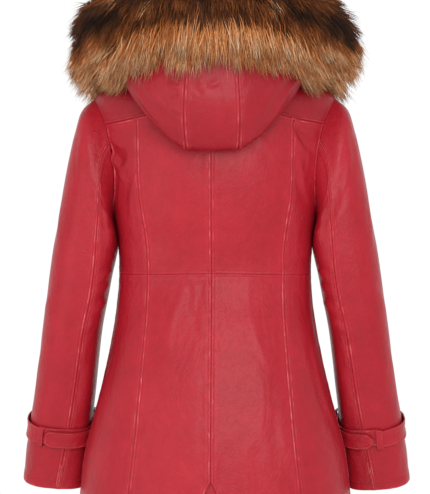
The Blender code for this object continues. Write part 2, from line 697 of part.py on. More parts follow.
def fur_trim():
    ends = [(turn, scale) for turn, scale in FUR_END]
    rings = [(-turn, scale) for turn, scale in reversed(ends)]
    rings += [(-turn, 1.0) for turn in reversed(FUR_TURNS[1:])]
    rings += [(turn, 1.0) for turn in FUR_TURNS]
    rings += ends
    angles = np.arange(FUR_SIDES) * 360 / FUR_SIDES
    points = [spot for turn, scale in rings for spot in fur_point(turn, angles, scale)]
    faces = []
    for ring in range(len(rings) - 1):
        for side_number in range(FUR_SIDES):
            after = (side_number + 1) % FUR_SIDES
            low, high = ring * FUR_SIDES, (ring + 1) * FUR_SIDES
            faces.append((low + side_number, low + after, high + after, high + side_number))
    for tip, ring, flip in ((-FUR_TIP, 0, False), (FUR_TIP, len(rings) - 1, True)):
        centre = len(points)
        points.append(fur_point(tip, 0.0, 0.0))
        for side_number in range(FUR_SIDES):
            here = ring * FUR_SIDES + side_number
            there = ring * FUR_SIDES + (side_number + 1) % FUR_SIDES
            faces.append((here, there, centre) if flip else (there, here, centre))
    place("fur_trim", closed_mesh("fur_trim", points, faces), FUR)


fur_trim()


# ---- Hood: a pouch from the neckline over, down the back, and up again to the fur ----


def hood_point(direction, step):
    """A point of the hood's face; steps 0 to 5 are neckline, crest, back layer, fold, outer layer, rim."""
    direction, step = np.broadcast_arrays(np.asarray(direction, float), np.asarray(step, float))
    table = np.array(HOOD_ROWS, float)
    row = smooth(table[:, 0], table[:, 1:], np.abs(direction))
    neck = body_point(np.abs(direction), NECK) + np.array([0, 0, SEAM])
    turn = np.radians(np.abs(direction))
    stops = [neck]
    for i in range(4):
        reach, high = row[..., 2 * i], row[..., 2 * i + 1]
        stops.append(np.stack([reach * np.sin(turn), reach * np.cos(turn), high], axis=-1))
    stops.append(fur_point(np.abs(direction), row[..., 8], 1 + RIM_GAP / FUR_SIZE))
    stops = np.array(stops).reshape(6, -1, 3)
    steps = step.reshape(-1)
    found = [smooth(range(6), stops[:, i], steps[i]) for i in range(len(steps))]
    found = np.array(found).reshape(step.shape + (3,))
    return found * np.stack([np.where(direction < 0, -1, 1)] + [np.ones_like(step)] * 2, axis=-1)


def hood_normal(direction, step):
    return normals(hood_point, direction, step, 0.3, 0.02)


def hood_seam(step):
    return smooth((0, 3, 5), [[t] for t in HOOD_SEAM], step)[..., 0]


def hood_panel(name, start, end, columns):
    """A hood panel between two edges given as directions for each step."""
    steps = np.array(HOOD_STEPS, float)
    low, high = start(steps), end(steps)
    share = np.linspace(0, 1, columns + 1)
    directions = low[:, None] + (high - low)[:, None] * share[None, :]
    grid = np.broadcast_to(steps[:, None], directions.shape)
    wall(name, hood_point(directions, grid), hood_normal(directions, grid))


HALF_SEAM_TURN = math.degrees(SEAM / 2 / HOOD_RADIUS)
hood_panel(
    "hood_center",
    lambda step: -hood_seam(step) + HALF_SEAM_TURN,
    lambda step: hood_seam(step) - HALF_SEAM_TURN,
    HOOD_CENTER_COLUMNS,
)
for side, hand in ((1, "left"), (-1, "right")):
    hood_panel(
        f"hood_{hand}",
        lambda step: side * (hood_seam(step) + HALF_SEAM_TURN),
        lambda step: side * np.full_like(step, HOOD_END),
        HOOD_SIDE_COLUMNS,
    )
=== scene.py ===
"""Red leather parka with a fur-trimmed hood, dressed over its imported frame."""

import math

import bpy
import numpy as np
from mathutils import Matrix, Vector


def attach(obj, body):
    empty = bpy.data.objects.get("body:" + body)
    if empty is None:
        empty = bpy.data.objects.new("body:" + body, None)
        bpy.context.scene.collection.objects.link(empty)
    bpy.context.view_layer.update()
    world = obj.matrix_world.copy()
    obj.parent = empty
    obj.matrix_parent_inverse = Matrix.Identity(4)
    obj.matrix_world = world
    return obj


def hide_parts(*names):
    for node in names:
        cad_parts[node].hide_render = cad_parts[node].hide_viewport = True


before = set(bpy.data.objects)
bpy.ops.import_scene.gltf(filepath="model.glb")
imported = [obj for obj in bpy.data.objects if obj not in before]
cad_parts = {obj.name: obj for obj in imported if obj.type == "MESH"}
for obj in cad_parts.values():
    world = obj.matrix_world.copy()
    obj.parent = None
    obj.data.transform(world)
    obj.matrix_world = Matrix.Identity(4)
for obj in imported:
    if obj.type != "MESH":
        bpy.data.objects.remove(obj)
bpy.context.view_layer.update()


# ---- Trunk ----
# Panels of soft red leather with a thin lining: a yoke, two back panels and two side backs above
# the waist, four skirt panels below it, and two fronts. They are sewn edge to edge, the seams are
# pressed open, and each side of a seam is held down by a row of topstitching.

# level up the side, half width, depth to the back, depth to the front,
# height at centre back, side and centre front, squareness of the section
TRUNK_ROWS = (
    (0.000, 0.2340, 0.150, 0.160, -0.785, -0.785, -0.785, 2.2),
    (0.117, 0.2195, 0.146, 0.157, -0.668, -0.668, -0.668, 2.2),
    (0.175, 0.2125, 0.142, 0.154, -0.610, -0.610, -0.610, 2.2),
    (0.248, 0.1940, 0.133, 0.147, -0.537, -0.537, -0.537, 2.2),
    (0.312, 0.1780, 0.122, 0.139, -0.473, -0.473, -0.473, 2.2),
    (0.375, 0.1650, 0.106, 0.130, -0.410, -0.410, -0.410, 2.2),
    (0.467, 0.1540, 0.088, 0.120, -0.316, -0.318, -0.318, 2.2),
    (0.522, 0.1565, 0.097, 0.126, -0.262, -0.263, -0.263, 2.2),
    (0.560, 0.1630, 0.106, 0.133, -0.224, -0.225, -0.225, 2.3),
    (0.635, 0.1740, 0.116, 0.136, -0.138, -0.150, -0.160, 2.3),
    (0.704, 0.1850, 0.109, 0.120, -0.052, -0.081, -0.112, 2.3),
    (0.752, 0.1920, 0.098, 0.104, -0.028, -0.033, -0.093, 2.3),
    (0.815, 0.1330, 0.082, 0.094, -0.012, -0.012, -0.083, 2.2),
    (0.872, 0.0780, 0.066, 0.085, 0.000, 0.012, -0.075, 2.0),
)
# the largest folds: turn and level of one end and of the other, half width, height
TRUNK_FOLDS = (
    (62, 0.700, 69, 0.600, 0.022, -0.0035),
    (-58, 0.705, -68, 0.590, 0.022, -0.0040),
    (72, 0.500, 50, 0.486, 0.020, 0.0025),
    (-80, 0.505, -56, 0.482, 0.020, 0.0022),
    (40, 0.400, 52, 0.120, 0.040, 0.0035),
    (-36, 0.380, -46, 0.080, 0.040, 0.0030),
    (-12, 0.330, -16, 0.100, 0.035, -0.0025),
    (76, 0.380, 84, 0.060, 0.035, -0.0030),
    (-78, 0.400, -82, 0.100, 0.035, -0.0035),
    (122, 0.420, 130, 0.080, 0.040, 0.0040),
    (-118, 0.400, -128, 0.060, 0.040, 0.0035),
    (152, 0.520, 118, 0.600, 0.030, -0.0030),
    (-150, 0.510, -116, 0.590, 0.030, -0.0030),
)
# smaller creases, in millimetres of cloth: across and level of one end and of the other,
# half width of the soft side, height
BACK_CREASES = (
    (-20, 462, -28, 350, 7, 1),
    (-44, 463, -40, 375, 6, -1),
    (22, 462, 30, 360, 8, 1.1),
    (50, 464, 44, 390, 6, 0.9),
    (80, 463, 98, 330, 9, 1.3),
    (-82, 462, -104, 320, 10, 1.4),
    (-12, 476, -18, 540, 6, 0.8),
    (-52, 474, -58, 520, 7, 0.9),
    (34, 474, 30, 545, 7, 0.9),
    (70, 475, 82, 520, 7, -0.9),
    (165, 655, 205, 572, 10, 2),
    (-160, 665, -202, 575, 10, 2.2),
    (-138, 650, -172, 540, 8, 1.3),
    (140, 640, 178, 545, 8, 1.2),
    (-30, 120, -52, 15, 10, 1.4),
    (26, 140, 50, 20, 10, 1.4),
    (100, 280, 122, 70, 14, 1.6),
    (-118, 300, -146, 90, 14, 1.7),
    (-70, 225, -92, 60, 12, -1.4),
    (200, 380, 222, 200, 12, 1.4),
    (-205, 390, -236, 180, 12, 1.5),
    (60, 705, 112, 652, 9, 1),
    (-64, 700, -118, 645, 9, 1.1),
    (-152, 706, -201, 672, 6, 4.4),
    (-158, 688, -198, 654, 7, -3),
    (208, 666, 172, 638, 7, -4.6),
    (206, 682, 166, 660, 6, 3),
    (200, 650, 178, 612, 6, 2.4),
    (64, 454, 46, 434, 5, 1.6),
    (18, 450, 12, 400, 5, 1.1),
    # small gathers between the two rows of thread at the waist
    *((8 + 7.8 * i, 465.5, 9 + 7.8 * i, 450, 2.6, 0.8 + 0.3 * math.sin(i * 2.3)) for i in range(12)),
)
FRONT_CREASES = (
    (290, 640, 345, 560, 11, 2.2),
    (300, 520, 400, 505, 9, 1.4),
    (330, 470, 360, 300, 12, 1.6),
    (420, 440, 438, 210, 13, -1.5),
    (385, 690, 430, 590, 12, 1.6),
    (300, 260, 322, 60, 14, 1.8),
    (448, 300, 452, 40, 12, 1.3),
)
PRINCESS_ROWS = (
    (0.000, 0.137),
    (0.117, 0.131),
    (0.165, 0.126),
    (0.255, 0.118),
    (0.330, 0.112),
    (0.415, 0.106),
    (0.522, 0.107),
    (0.585, 0.116),
    (0.704, 0.121),
)
VENT_TOP, WAIST, UNDERARM, SHOULDER, NECK = 0.148, 0.467, 0.560, 0.752, 0.872
YOKE = (SHOULDER + UNDERARM) / 2 + (SHOULDER - UNDERARM) / 2 * math.cos(math.radians(60))
ARMHOLE_TURN, VENT_GAP, VENT_CURVE, CENTRE_SHIFT, PRINCESS_SHIFT = 17.5, 0.030, 0.55, 0.003, 0.0055
LEATHER_THICK, JOIN_GAP, LAP_GAP = 0.002, 0.0001, 0.0004
CLOTH_PER_DEGREE, WAIST_THREAD = 0.0028, 0.0142

# how far from a join or a hem's edge the rows of the mesh lie, how high the leather stands there and how it
# is painted: lighter (positive) on the raised leather, partly rubbed wear and partly a painted highlight,
# and darker (negative) as painted shade in the thread's groove; the rolled edge, the doubled leather, the
# row of thread, and the leather past it
SEAM_PLACES = (0.0, 0.0009, 0.0022, 0.0032, 0.0040, 0.0049, 0.0070, 0.0110)
SEAM_LIFTS = (0.0010, 0.0012, 0.0013, 0.0012, 0.0001, 0.0005, 0.0006, 0.0)
SEAM_RUB_AND_SHADE = (-0.05, 0.05, 0.30, 0.60, -0.45, 0.10, 0.15, 0.0)
HEM_PLACES = (0.0, 0.0009, 0.0028, 0.0085, 0.0128, 0.0140, 0.0152, 0.0190)
HEM_LIFTS = (0.0002, 0.0009, 0.0010, 0.0010, 0.0009, 0.0002, 0.0005, 0.0)
HEM_RUB_AND_SHADE = (0.30, 0.45, 0.20, 0.05, 0.15, -0.40, 0.0, 0.0)
SEAM_THREAD, HEM_THREAD = 4, 5  # the places where the thread runs
EDGE_RAISED = {"lapped": 1.7, "flat": 0.4, "bare": 0.4}  # how thick a seam is against a plain one
PUCKER_REACH, PUCKER_HIGH = 0.006, 0.00045  # the uneven puckers beside a seam


def unit(vectors):
    """The vectors made one long."""
    return vectors / np.maximum(np.linalg.norm(vectors, axis=-1, keepdims=True), 1e-12)


def pair(first, second):
    """Two values or grids as arrays of one shape."""
    return np.broadcast_arrays(np.asarray(first, float), np.asarray(second, float))


def eased(t, start, end, start_run, end_run):
    """A smooth course from start to end, with the run that it has at each of them."""
    leaving = (1 + 2 * t) * (1 - t) ** 2 * start + t * (1 - t) ** 2 * start_run
    return leaving + t * t * (3 - 2 * t) * end + t * t * (t - 1) * end_run


def smooth(knots, values, at):
    """Values on a smooth curve through the knots, at any places; a place may have values of its own."""
    knots, values = np.asarray(knots, float), np.asarray(values, float)
    at = np.clip(np.asarray(at, float), knots[0], knots[-1])
    slopes = np.gradient(values, knots, axis=0)
    k = np.clip(np.searchsorted(knots, at, side="right") - 1, 0, len(knots) - 2)
    step = (knots[k + 1] - knots[k])[..., None]
    t = (at - knots[k])[..., None] / step

    def pick(table, row):
        if table.ndim == 2:
            return table[row]
        return np.take_along_axis(table, row[None, ..., None], axis=0)[0]

    return eased(t, pick(values, k), pick(values, k + 1), step * pick(slopes, k), step * pick(slopes, k + 1))


def rows_at(table, at):
    """A table's columns at any places of its first one."""
    return np.moveaxis(smooth([row[0] for row in table], [row[1:] for row in table], at), -1, 0)


def fold_height(turn, level):
    """How far the large folds lift the trunk's surface."""
    turn = (turn + 180) % 360 - 180
    lift = np.zeros_like(level, dtype=float)
    for turn_a, level_a, turn_b, level_b, width, height in TRUNK_FOLDS:
        run = np.array([(turn_b - turn_a) * CLOTH_PER_DEGREE, level_b - level_a])
        away = np.stack([(turn - turn_a) * CLOTH_PER_DEGREE, level - level_a], axis=-1)
        along = np.clip(away @ run / (run @ run), 0, 1)
        gap = np.linalg.norm(away - along[..., None] * run, axis=-1)
        lift += height * np.exp(-((gap / width) ** 2))
    return lift


def trunk_point(turn, level):
    """A point of the trunk; turn 0 is centre back, 90 the wearer's left side, 180 centre front."""
    turn, level = pair(turn, level)
    fold = fold_height(turn, level)
    width, back_y, front_y, back_z, side_z, front_z, square = rows_at(TRUNK_ROWS, level)
    sine, cosine = np.sin(np.radians(turn)), np.cos(np.radians(turn))
    depth = np.where(cosine > 0, back_y, front_y)
    reach = ((np.abs(sine) / width) ** square + (np.abs(cosine) / depth) ** square) ** (-1 / square)
    reach = reach + fold
    high = side_z + (np.where(cosine > 0, back_z, front_z) - side_z) * cosine**2
    return np.stack([reach * sine, reach * cosine, high], axis=-1)


def turn_at(distance, level):
    """The turn at which the back is a given distance to the side of its middle."""
    distance, level = pair(distance, level)
    low, high = np.zeros(level.shape), np.full(level.shape, 88.0)
    for _ in range(30):
        middle = (low + high) / 2
        short = trunk_point(middle, level)[..., 0] < np.abs(distance)
        low, high = np.where(short, middle, low), np.where(short, high, middle)
    return np.copysign(low, distance)


def side_edge(level, behind=True):
    """The side seam, the armhole's edge or the shoulder seam, whichever bounds a panel at a level."""
    half = (SHOULDER - UNDERARM) / 2
    share = np.clip((level - (SHOULDER + UNDERARM) / 2) / half, -1, 1)
    cut = ARMHOLE_TURN * np.sqrt(1 - share**2)
    return 90 - cut if behind else 90 + cut


def princess(level, side):
    """The princess seam of one side, 1 for the left; the right one lies a little further out."""
    return turn_at(rows_at(PRINCESS_ROWS, level)[0] + (PRINCESS_SHIFT if side < 0 else 0.0), level) * side


def centre_back(level):
    return turn_at(CENTRE_SHIFT, level)


def vent_half(level):
    """Half the width of the vent, in degrees of turn."""
    share = np.clip((VENT_TOP - level) / VENT_TOP, 0, 1)
    return np.where(share > 0, turn_at(VENT_GAP * share**VENT_CURVE, level), 0.0)


def waves(along, seed):
    """An uneven ripple between about -1 and 1 along a seam."""
    phase = np.random.default_rng(seed).uniform(0, 2 * math.pi, 4)
    lengths = (0.0125, 0.0190, 0.0310, 0.0570)
    return sum(np.sin(2 * math.pi * along / size + p) for size, p in zip(lengths, phase)) / 3


def creased(across, up, creases):
    """Lift of listed creases; each has a soft side and a steep side and fades at its ends."""
    lift = np.zeros(np.broadcast(across, up).shape)
    for across_a, up_a, across_b, up_b, width, height in np.array(creases) / 1000:
        run_across, run_up = across_b - across_a, up_b - up_a
        length = math.hypot(run_across, run_up)
        share = ((across - across_a) * run_across + (up - up_a) * run_up) / length**2
        side = ((across - across_a) * run_up - (up - up_a) * run_across) / length
        fade = np.clip(1 - (2 * share - 1) ** 2, 0, 1)
        side = side + 0.12 * length * (fade - 0.5)
        ridge = np.exp(-((side / np.where(side > 0, width, 0.5 * width)) ** 2))
        trough = np.exp(-(((side + 1.2 * width) / (0.8 * width)) ** 2))
        lift += height * fade * (ridge - 0.6 * trough)
    return lift


def spread(length, count, low=SEAM_PLACES, high=SEAM_PLACES):
    """Places across a panel: close together at its two edges, even between them."""
    middle = np.linspace(low[-1], length - high[-1], count + 1)[1:-1]
    return np.concatenate([low, middle, (length - np.array(high))[::-1]])


def row_lengths(points, axis):
    """How far each point lies along its row or column of a grid, in metres."""
    steps = np.linalg.norm(np.diff(points, axis=axis), axis=-1)
    return np.concatenate([np.zeros_like(np.take(steps, [0], axis=axis)), np.cumsum(steps, axis=axis)], axis)


def outward_of(points):
    """Outward unit normals of a grid whose columns run round to the wearer's left and rows run up."""
    across, up = np.gradient(points, axis=1), np.gradient(points, axis=0)
    return unit(np.cross(up, across))


def lay_columns(surface, ups, start, end, count, gap=JOIN_GAP / 2):
    """Places across each row of a panel so that its columns keep their distance from the two edges."""
    across = []
    for up, first, last in zip(ups, start, end):
        fine = np.linspace(first, last, 90)
        run = row_lengths(surface(fine, np.full(90, up)), 0)
        across.append(np.interp(gap + spread(run[-1] - 2 * gap, count), run, fine))
    return np.array(across)


thread_rows = []  # the points and outward directions of every row of topstitching


def cut_cloth(name, surface, ups, start, end, count, edges, creases=None, seed=0, mirror=False, rows=()):
    """A leather panel on a surface, lifted at its seams and creases.

    ups are its rows from the bottom up, start and end its two edges for each row. edges names what its
    left, right, lower and upper edges are: sewn, lapped (sewn over the next panel), flat (sewn and
    pressed flat), bare (the same without a row of thread), hem or cut. rows are more rows of thread:
    where, and the share of the panel's width at which each begins and ends.
    """
    across = lay_columns(surface, ups, start, end, count)
    up = np.asarray(ups)[:, None] * np.ones_like(across)
    points = surface(across, up)
    outward = outward_of(points)
    run, rise = row_lengths(points, 1), row_lengths(points, 0)
    away = (run, run[:, -1:] - run, rise, rise[-1:] - rise)
    along = (rise, rise, run, run)
    lift = creases(across, up) if creases else np.zeros(run.shape)
    seam, rub_highlight_and_groove_shade = np.zeros(run.shape), np.zeros(run.shape)
    lines = []
    for number, kind in enumerate(edges):
        if kind == "cut":
            continue
        sewn, raised = kind != "hem", EDGE_RAISED.get(kind, 1.0)
        places, heights = (SEAM_PLACES, SEAM_LIFTS) if sewn else (HEM_PLACES, HEM_LIFTS)
        near = np.interp(away[number], places, heights) * raised
        puff = np.exp(-(((away[number] - PUCKER_REACH) / PUCKER_REACH) ** 2))
        near = near + PUCKER_HIGH * puff * waves(along[number], seed + number)
        seam = np.where(np.abs(near) > np.abs(seam), near, seam)
        # painted lighter where raised (rubbed wear and a painted highlight) and darker in the grooves
        # (painted shade)
        rub_and_shade = np.interp(away[number], places, SEAM_RUB_AND_SHADE if sewn else HEM_RUB_AND_SHADE)
        rub_and_shade = rub_and_shade * (0.75 + 0.35 * waves(along[number] * 0.6, seed + number + 5)) * min(raised, 1.2)
        rub_highlight_and_groove_shade = np.where(np.abs(rub_and_shade) > np.abs(rub_highlight_and_groove_shade), rub_and_shade, rub_highlight_and_groove_shade)
        if kind == "bare":
            continue
        at = SEAM_THREAD if sewn else HEM_THREAD
        lines.append((np.s_[:, at], np.s_[:, -1 - at], np.s_[at, :], np.s_[-1 - at, :])[number])
    for where, begin, finish in rows:
        begin, finish = int(begin * (across.shape[1] - 1)), int(finish * (across.shape[1] - 1))
        lines.append(np.s_[np.argmin(np.abs(np.asarray(ups) - where)), begin : finish + 1])
    points = points + outward * (lift + seam)[..., None]
    if mirror:
        points = points * (-1, 1, 1)
        outward = outward * (-1, 1, 1)
    thread_rows.extend((points[line], outward[line]) for line in lines)
    return shell(name, points, rub_highlight_and_groove_shade, not mirror)


def mark(piece, name, values, kind="FLOAT", field="value"):
    """Gives each point of a piece a value or a colour that its material reads."""
    made = piece.data.attributes.new(name, kind, "POINT")
    made.data.foreach_set(field, np.ascontiguousarray(values, np.float32).ravel())


def laid_grid(name, points):
    """A grid primitive laid on rows of points."""
    rows, columns = points.shape[:2]
    bpy.ops.object.select_all(action="DESELECT")
    bpy.ops.mesh.primitive_grid_add(x_subdivisions=columns - 1, y_subdivisions=rows - 1, size=1)
    piece = bpy.context.object
    piece.name = name
    piece.data.vertices.foreach_set("co", np.ascontiguousarray(points, np.float32).ravel())
    return piece


def shell(name, points, rub_highlight_and_groove_shade, flip, thick=LEATHER_THICK):
    """A grid laid on the points and given its thickness inwards."""
    piece = laid_grid(f"{name}_leather", points)
    # the seams' rubbed wear with painted highlight and painted groove shade, which the material reads
    mark(piece, "rub_highlight_and_groove_shade", rub_highlight_and_groove_shade)
    if flip:
        piece.data.flip_normals()
    wall = piece.modifiers.new("wall", "SOLIDIFY")
    wall.thickness, wall.offset = thick, -1
    bpy.ops.object.modifier_apply(modifier="wall")
    bpy.ops.object.shade_smooth()
    return piece


class Shade:
    """A socket in a material; sums and products of sockets add their Math nodes."""

    def __init__(self, tree, socket=None):
        self.tree, self.socket = tree, socket

    def node(self, kind, settings=None, sockets=None, out=0):
        made = self.tree.nodes.new(kind)
        for key, value in (settings or {}).items():
            setattr(made, key, value)
        for key, value in (sockets or {}).items():
            if isinstance(value, Shade):
                self.tree.links.new(value.socket, made.inputs[key])
            else:
                made.inputs[key].default_value = value
        return Shade(self.tree, made.outputs[out])

    def math(self, operation, first, second=0.0):
        return self.node("ShaderNodeMath", {"operation": operation}, {0: first, 1: second})

    def __add__(self, other):
        return self.math("ADD", self, other)

    def __sub__(self, other):
        return self.math("SUBTRACT", self, other)

    def __mul__(self, other):
        return self.math("MULTIPLY", self, other)

    __radd__, __rmul__ = __add__, __mul__

    def noise(self, **sockets):
        return self.node("ShaderNodeTexNoise", {}, sockets)

    def bump(self, height, strength, distance, **sockets):
        sockets.update(Height=height, Strength=strength, Distance=distance)
        return self.node("ShaderNodeBump", {}, sockets)

    def mark(self, name, out):
        return self.node("ShaderNodeAttribute", {"attribute_name": name}, out=out)

    def held(self):
        """The value kept between 0 and 1."""
        return self.node("ShaderNodeClamp", {}, {0: self})

    def mix(self, share, first, second):
        """A colour between two colours."""
        return self.node("ShaderNodeMix", {"data_type": "RGBA"}, {0: share, 6: first, 7: second}, out=2)


def material(name, sockets_of):
    """A material whose shader has the sockets that a function makes from its nodes and its place."""
    made = bpy.data.materials.new(name)
    made.use_nodes = True
    tree = made.node_tree
    tree.nodes.remove(tree.nodes["Principled BSDF"])
    on = Shade(tree)
    place = on.node("ShaderNodeTexCoord", out=3)
    shader = on.node("ShaderNodeBsdfPrincipled", {}, sockets_of(on, place))
    tree.links.new(shader.socket, tree.nodes["Material Output"].inputs["Surface"])
    return made


def red_leather(on, place):
    """Aniline-dyed nappa: even red, faint clouds, fine pebbled grain; the seams are painted lighter where
    raised, partly as rubbed wear and partly as a painted highlight with painted glints, and painted shade
    darkens their grooves; the yoke and hood carry a painted shade.
    """
    rub_highlight_and_groove_shade, painted_shade = on.mark("rub_highlight_and_groove_shade", 2), on.mark("painted_shade", 2)
    clouds = on.noise(Vector=place, Scale=11.0, Detail=4.0, Roughness=0.55)
    mottle = on.noise(Vector=place, Scale=75.0, Detail=3.0, Distortion=0.6)
    cells = {"Vector": place, "Scale": 640.0, "Randomness": 0.9}
    pebble = on.node("ShaderNodeTexVoronoi", {"feature": "DISTANCE_TO_EDGE"}, cells)
    pores = on.noise(Vector=place, Scale=1500.0, Detail=2.0)
    creping = on.noise(Vector=place, Scale=140.0, Detail=5.0, Distortion=1.2)
    tone = (clouds * 0.62 + mottle * 0.38 - 0.5) * 1.9 + 0.5
    dyed = on.mix(tone.held(), (0.268, 0.0062, 0.0135, 1), (0.380, 0.0112, 0.0225, 1))
    # rubbed lighter on the raised seams: partly wear, partly a painted highlight
    rubbed = on.mix((rub_highlight_and_groove_shade * 0.72).held(), dyed, (0.600, 0.034, 0.050, 1))
    # painted glints: pinkish-white spots painted into the base colour of the raised seams, which also shine
    # more there through lower roughness and more coat
    rubs = on.noise(Vector=place, Scale=62.0, Detail=2.0)
    glint = ((rub_highlight_and_groove_shade * 1.5 - 0.2).held() * (rubs * 6.0 - 2.8).held()).held()
    painted_glint_colour = on.mix(glint * 0.65, rubbed, (0.820, 0.210, 0.220, 1))
    # painted shade: the seams' grooves and thread rows are darkened
    painted_groove_shade = on.mix((rub_highlight_and_groove_shade * -0.85).held(), painted_glint_colour, (0.160, 0.002, 0.008, 1))
    pebbled = (pebble * 3.2).held() * 0.30 + pores * 0.22 + creping * 0.48
    drawn = on.node("ShaderNodeMapping", {}, {"Vector": place, "Scale": (1.0, 1.0, 0.5)})
    dents = on.noise(Vector=drawn, Scale=30.0, Detail=2.5, Distortion=0.9)
    slack = on.bump(dents, 0.65, 0.0035)
    low = on.bump(creping, 0.85, 0.0010, Normal=slack)
    return {
        # painted shade: the yoke and the hood are darkened, as if in the shade of the fur and the hood
        "Base Color": on.mix(painted_shade * 0.45, painted_groove_shade, (0.130, 0.002, 0.006, 1)),
        "Roughness": 0.30 + clouds * 0.10 + pores * 0.08 - rub_highlight_and_groove_shade * 0.10 - glint * 0.08,
        "Coat Weight": 0.05 + glint * 0.5,
        "Coat Roughness": 0.18,
        "IOR": 1.28,
        "Normal": on.bump(pebbled, 0.35, 0.00045, Normal=low),
    }


RED_LEATHER = material("red_nappa", red_leather)


def leather_piece(piece, node, deep=0.0):
    """Gives a finished leather piece its material and puts it in the place of its plain solid.

    deep is how much darker it is painted: a painted shade, given to the yoke and the hood as if they lay in
    the shade of the fur and the hood.
    """
    # the painted shade of this piece, read by the material
    mark(piece, "painted_shade", np.full(len(piece.data.vertices), deep))
    piece.data.materials.clear()
    piece.data.materials.append(RED_LEATHER)
    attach(piece, "root")
    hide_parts(node)


def levels(low, high, pitch, below=SEAM_PLACES):
    """Rows between two levels, close together at the joins at both ends."""
    low, high = low + JOIN_GAP / 2, high - JOIN_GAP / 2
    return low + spread(high - low, round((high - low) / pitch), below)


def back_creases(turn, level):
    return creased(turn * CLOTH_PER_DEGREE, level, BACK_CREASES)


def front_creases(turn, level):
    across = np.abs((turn + 180) % 360 - 180) * CLOTH_PER_DEGREE
    return creased(across, level, FRONT_CREASES)


yoke_ups = levels(YOKE, NECK, 0.0054)
# the yoke carries a painted shade, as under the fur and the hood
leather_piece(
    cut_cloth(
        "back_yoke", trunk_point, yoke_ups, -side_edge(yoke_ups), side_edge(yoke_ups), 58,
        ("sewn", "sewn", "lapped", "cut"), back_creases, 11,
    ),
    "back_yoke", deep=0.55,
)
upper_ups, skirt_ups = levels(WAIST, YOKE, 0.0050), levels(0.0, WAIST, 0.0056, HEM_PLACES)
for hand, side in (("left", 1), ("right", -1)):
    back_up = centre_back(upper_ups)
    # rows, inner and outer edge, columns, kinds of edge, width and length as cut, surface
    cuts = {
        "back_upper": (
            upper_ups, (back_up, princess(upper_ups, side)), 17,
            ("sewn", "sewn", "flat", "sewn"), (0.13, 0.27), 0.0315,
        ),
        "back_side": (
            upper_ups, (princess(upper_ups, side), side_edge(upper_ups) * side), 20,
            ("sewn", "sewn", "flat", "sewn"), (0.105, 0.265), 0.0199,
        ),
        "skirt_back": (
            skirt_ups, (centre_back(skirt_ups) + vent_half(skirt_ups) * side, princess(skirt_ups, side)), 19,
            ("sewn", "sewn", "hem", "bare"), (0.137, 0.48), 0.0573,
        ),
        "skirt_side": (
            skirt_ups, (princess(skirt_ups, side), side_edge(skirt_ups) * side), 24,
            ("sewn", "sewn", "hem", "bare"), (0.173, 0.477), 0.0666,
        ),
    }
    for part, (ups, (inner, outer), count, edges, flat, area) in cuts.items():
        first, last = (inner, outer) if side > 0 else (outer, inner)
        # one short row of thread lies below the waist seam, on the left of the vent's seam
        rows = ((WAIST - WAIST_THREAD, 0.0, 0.55),) if (part, hand) == ("skirt_back", "left") else ()
        seed = 20 + side * 3 + len(part)
        piece = cut_cloth(
            f"{part}_{hand}", trunk_point, ups, first, last, count, edges, back_creases, seed, rows=rows
        )
        leather_piece(piece, f"{part}_{hand}")
front_ups = levels(0.0, NECK, 0.0100, HEM_PLACES)
for hand, side in (("left", 1), ("right", -1)):
    outer, inner = side_edge(front_ups, False) * side, np.full(front_ups.shape, 180.0 * side)
    first, last = (outer, inner) if side > 0 else (inner, outer)
    edges = ("sewn", "cut", "hem", "cut") if side > 0 else ("cut", "sewn", "hem", "cut")
    name = f"front_{hand}"
    piece = cut_cloth(name, trunk_point, front_ups, first, last, 30, edges, front_creases, 40 + side)
    leather_piece(piece, name)


# ---- Vent underlap and front placket ----
# A spare width of the same leather behind the vent, and a flat strip over the front edges, which
# meet under it. The strip is held down by a row of thread along each edge.

VENT_SPARE, HEM_REACH, UNDERLAP_FOOT, UNDERLAP_TOP, PLACKET_HALF = 0.014, 0.14, 0.004, 0.168, 0.028


def lifted_trunk(out):
    """The trunk's surface moved out by a distance."""

    def surface(turn, level):
        across = trunk_point(turn + 0.2, level) - trunk_point(turn - 0.2, level)
        up = trunk_point(turn, level + 0.002) - trunk_point(turn, level - 0.002)
        return trunk_point(turn, level) + unit(np.cross(up, across)) * out

    return surface


under_ups = levels(UNDERLAP_FOOT, UNDERLAP_TOP, 0.006)
under_half = vent_half(under_ups) + math.degrees(VENT_SPARE / HEM_REACH)
underlap = cut_cloth(
    "vent_underlap", lifted_trunk(-LEATHER_THICK - 2 * LAP_GAP), under_ups,
    centre_back(under_ups) - under_half, centre_back(under_ups) + under_half, 6,
    ("cut", "cut", "cut", "cut"), None, 51,
)
leather_piece(underlap, "vent_underlap")

front_reach = np.linalg.norm(trunk_point(180.0, front_ups)[:, :2], axis=-1)
placket_turn = np.degrees(PLACKET_HALF / front_reach)
placket = cut_cloth(
    "front_placket", lifted_trunk(LEATHER_THICK + LAP_GAP), front_ups,
    180 - placket_turn, 180 + placket_turn, 5, ("sewn", "sewn", "cut", "cut"), None, 52,
)
leather_piece(placket, "front_placket")


# ---- Sleeves ----
# Two-piece sleeves of the same leather, set into round armholes: a wide top piece and a narrower
# under piece, joined by a topstitched seam down the back of the arm. The cuff is turned in once.

ARM_TOP = -0.033
